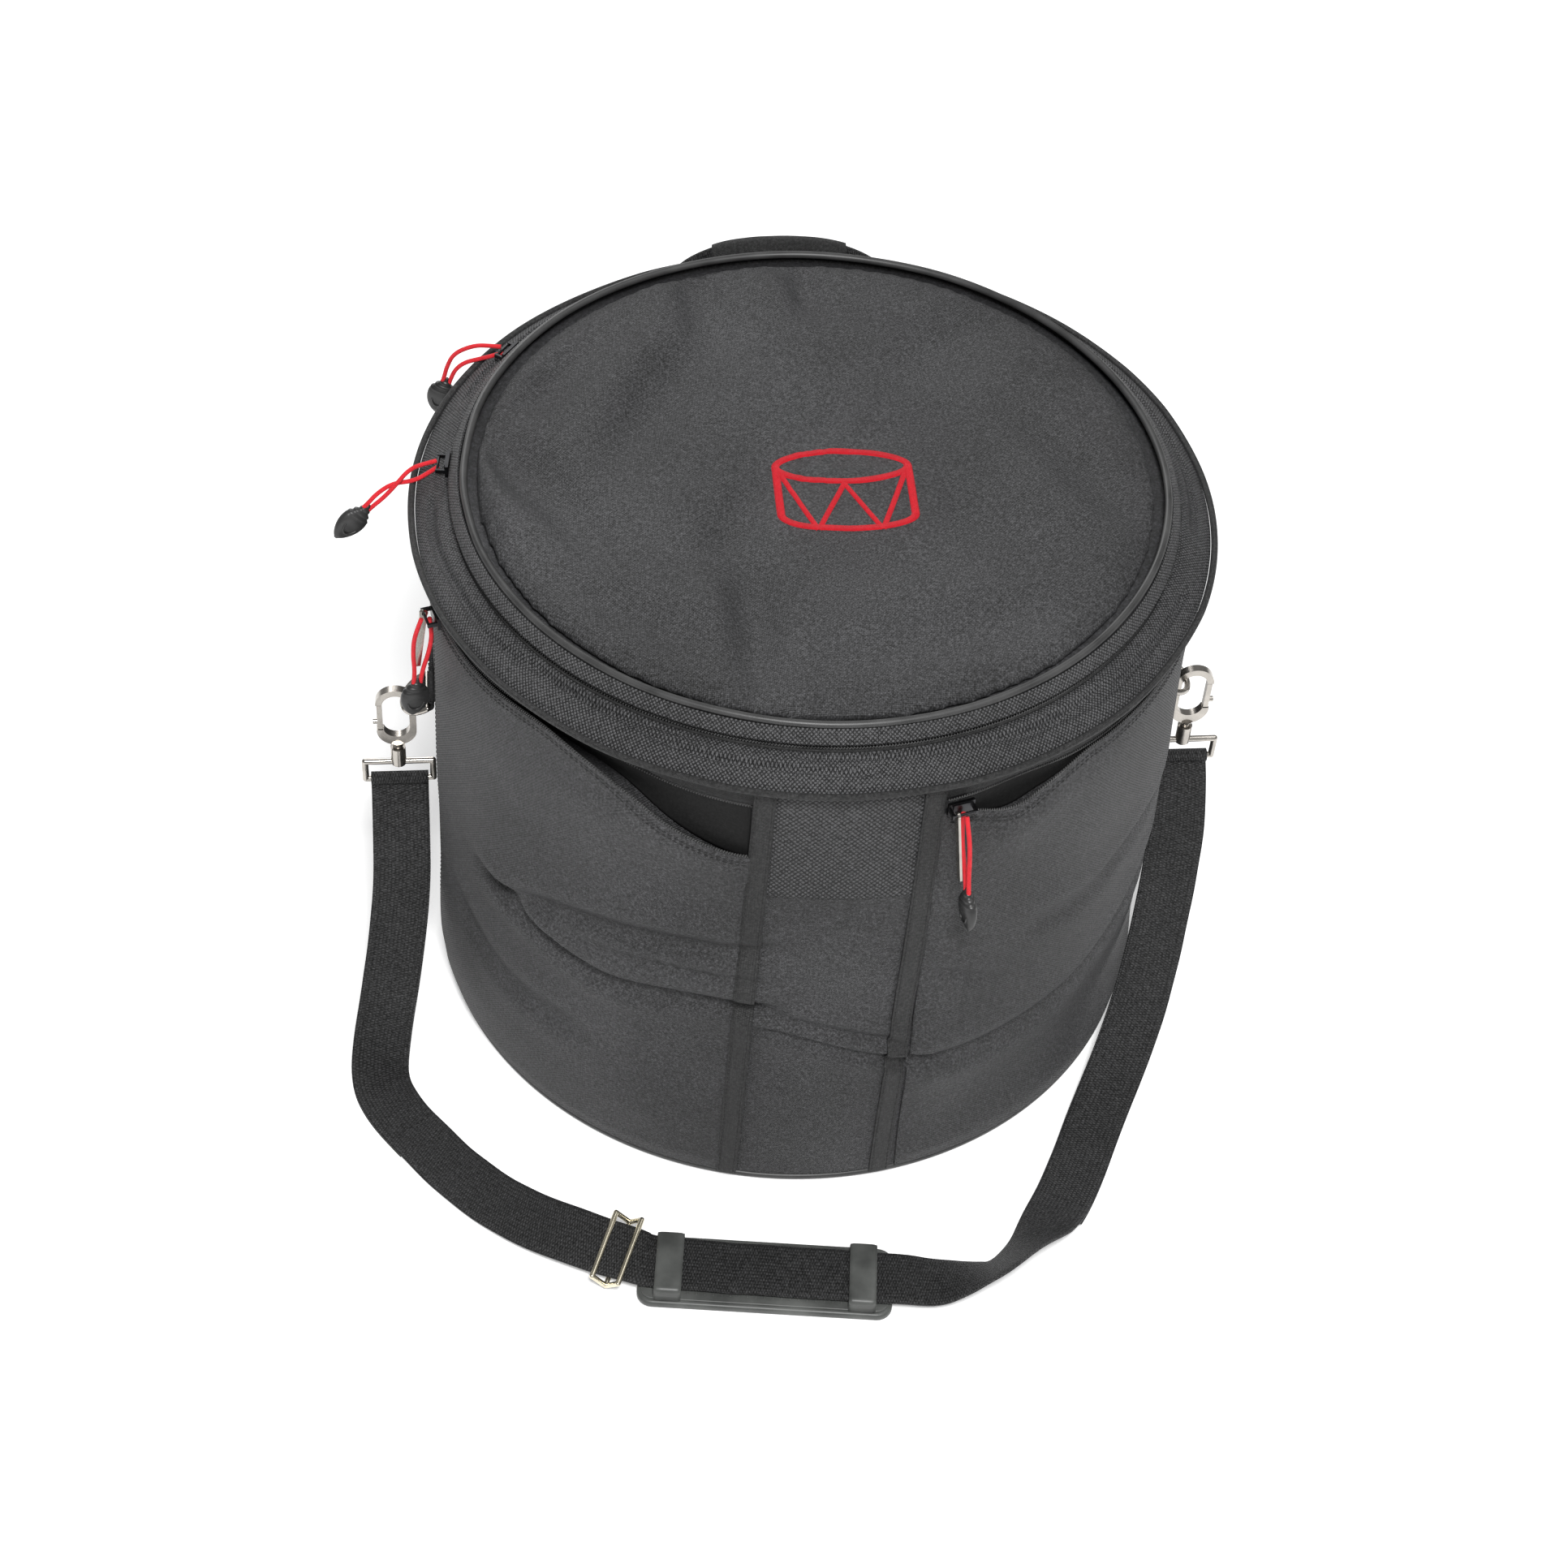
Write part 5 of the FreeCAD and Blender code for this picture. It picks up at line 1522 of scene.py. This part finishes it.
def make_handle():
    """A webbing handle with a padded grip, sewn to the back of the wall."""
    half = [(0.0730, 0.2120, 0.3200), (0.0730, 0.2190, 0.3270), (0.0660, 0.2335, 0.3390),
            (0.0440, 0.2380, 0.3500), (0.0180, 0.2400, 0.3540)]
    route = half + [(-x, y, z) for x, y, z in reversed(half)]
    line = steered_line(route, 6) - (0, 0, 8 * MM)
    ahead = directions(line)
    across = unit(np.cross(ahead, (0, 0, 1.0)))
    upward = np.tile((0.0, 0.0, 1.0), (len(line), 1))
    section = webbing_section(20 * MM, 2.4 * MM)[:, ::-1]
    build("handle_strap",
          [sweep_part(line[3:-3], across[3:-3], upward[3:-3], section)], "webbing", "handle",
          ["handle_webbing"])
    low_corner, high_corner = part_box("handle_grip")
    x = np.linspace(high_corner.x, low_corner.x, 61)
    bow = np.interp(-x, -line[:, 0], line[:, 1])
    sag = np.interp(-x, -line[:, 0], line[:, 2])
    path = np.stack([x, bow, sag], axis=1)
    angle = np.arange(28) * 2 * math.pi / 28
    thick, tall = 4.6 * MM, (high_corner.z - low_corner.z) / 2
    ring = np.stack([np.sign(np.cos(angle)) * np.abs(np.cos(angle)) ** 0.7 * thick,
                     np.sign(np.sin(angle)) * np.abs(np.sin(angle)) ** 0.8 * tall], axis=1)
    swell = 1 + 0.02 * np.sin(x * 330.0) + 0.10 * (1 - (x / 0.042) ** 2)
    points = path[:, None, :] + np.stack([np.zeros((61, 28)), ring[None, :, 0] * swell[:, None],
                                          np.tile(ring[:, 1], (61, 1))], axis=-1)
    grip = build("handle_wrap",
                 [grid_part(points, x[0] - x, np.arange(29) * 2.2 * MM, False, True,
                            True)], "grip", "handle", ["handle_grip"])
    seam = path + (0, thick * 0.98, -tall * 0.25)
    outward = np.tile((0.0, 1.0, 0.0), (61, 1))
    build("handle_stitches",
          [stitches_part(seam, outward, 2.4 * MM, 0.9 * MM, 0.26 * MM)], "stitching", "handle")
    patches, crosses = [], []
    bottom, top = low("handle_patches"), high("handle_patches")
    for centre in (71.0, 109.0):
        section = slab_profile(WALL_RADIUS + 0.1 * MM, WALL_RADIUS + 1.5 * MM, bottom, top, 3 * MM)
        patches.append(turned_part(section, (centre - 4.5, centre + 4.5), 0.75, wall_drape))
        corners = [cylinder_points(centre + turn, WALL_RADIUS + 1.7 * MM, level)
                   for turn, level in rectangle(-3.7, 3.7, bottom + 3 * MM, top - 3 * MM)]
        crosses += cross_box(corners, outward_at(centre))
    build("handle_anchor_patches", patches, "webbing", "bag", ["handle_patches"])
    build("handle_anchor_stitches", crosses, "stitching", "bag")


def make_ring_tabs():
    """Webbing folded round each D-ring's bar and sewn flat to the wall."""
    tabs, seams = [], []
    bar_x, bar_z, half = 0.2252, 0.2060, 12.6 * MM
    for sign in (1, -1):
        angle = np.radians(np.linspace(100, 425, 30))
        loop = [(bar_x + radius * math.cos(a), bar_z + radius * math.sin(a))
                for radius, arc in ((4.4 * MM, angle), (2.4 * MM, angle[::-1])) for a in arc]
        flat = refine([(bar_x - 1.6 * MM, bar_z + 3.4 * MM), (0.2232, bar_z + 9 * MM),
                       (0.2228, bar_z + 30 * MM), (0.2202, bar_z + 30 * MM),
                       (0.2202, bar_z + 3.4 * MM)], 2 * MM)
        tabs += [extruded_part(outline, np.linspace(-half, half, 7), lambda x, z,
                               y: (sign * x, sign * y, z)) for outline in (loop, flat)]
        face, edge = 0.2231, half - 2.4 * MM
        corners = [(sign * face, sign * y, z)
                   for y, z in rectangle(-edge, edge, bar_z + 11 * MM, bar_z + 28 * MM)]
        seams += cross_box(corners, (sign, 0, 0))
    build("ring_tab_webbing", tabs, "webbing", "bag", ["ring_tabs"])
    build("ring_tab_stitches", seams, "stitching", "bag")


def finish_metal():
    """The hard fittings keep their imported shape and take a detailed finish."""
    finishes = {
        "slider_metal": ["zip_slider_front", "zip_slider_rear", "pocket_slider_left",
                         "pocket_slider_right"],
        "tab_metal": ["pull_tab_pocket_left", "pull_tab_pocket_right"],
        "hook_metal": ["d_ring_left", "d_ring_right", "hook_left", "hook_right", "hook_gate_left",
                       "hook_gate_right", "strap_loops"],
        "glide_metal": ["tri_glide"],
    }
    for slot, nodes in finishes.items():
        for node in nodes:
            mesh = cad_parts[node].data
            mesh.materials.clear()
            mesh.materials.append(MATERIALS[slot])


# ---------------------------------------------------------------- floor and light

WORLD_STRENGTH = 0.23
FLOOR_GLOW = 0.30
FLOOR_HALF_SIZE = 14.0
LIGHT_TARGET = Vector((0, 0, 0.15))
LAMPS = [
    # name, place, side of its square in metres, power in watts
    ("key", (-0.05, -1.50, 2.4), 0.50, 78),
    ("top", (1.0, 0.2, 2.4), 1.2, 10),
    ("back", (-0.6, 2.0, 1.3), 1.2, 20),
]


def make_floor():
    """A plain pale floor, large enough to fill every view."""
    mesh = bpy.data.meshes.new("floor")
    sheet = bmesh.new()
    bmesh.ops.create_grid(sheet, x_segments=4, y_segments=4, size=FLOOR_HALF_SIZE)
    sheet.to_mesh(mesh)
    sheet.free()
    floor = bpy.data.objects.new("floor", mesh)
    scene.collection.objects.link(floor)
    material, tree, shader = start_material("floor_paper", Roughness=0.9, Specular_IOR_Level=0.1)
    clouds = noise_node(tree, tree.nodes.new("ShaderNodeTexCoord").outputs["Object"], 1.5)
    tree.links.new(ramp_node(tree, clouds, ((0.0, grey(0.86)), (1.0, grey(0.90)))),
                   shader.inputs["Base Color"])
    shader.inputs["Emission Color"].default_value = (1, 1, 1, 1)
    shader.inputs["Emission Strength"].default_value = FLOOR_GLOW
    mesh.materials.append(material)
    floor.location.z = -0.4 * MM


def make_light():
    """Soft studio light: a pale room, a strong lamp in front and weak ones above and behind."""
    world = bpy.data.worlds.new("studio")
    world.use_nodes = True
    background = world.node_tree.nodes["Background"]
    background.inputs["Color"].default_value = (1, 1, 1, 1)
    background.inputs["Strength"].default_value = WORLD_STRENGTH
    scene.world = world
    for name, place, size, power in LAMPS:
        data = bpy.data.lights.new(name, "AREA")
        data.shape = "SQUARE"
        data.size = size
        data.energy = power
        lamp = bpy.data.objects.new(name, data)
        lamp.location = place
        aim = LIGHT_TARGET - Vector(place)
        lamp.rotation_euler = aim.to_track_quat("-Z", "Y").to_euler()
        scene.collection.objects.link(lamp)
    scene.view_settings.view_transform = "Standard"


make_camera()
make_strap()
for pull in PULLS:
    make_pull(pull)
make_wall()
make_base()
make_pockets()
make_front()
make_band()
make_main_zip()
make_emblem(make_lid())
make_handle()
make_ring_tabs()
finish_metal()
make_floor()
make_light()
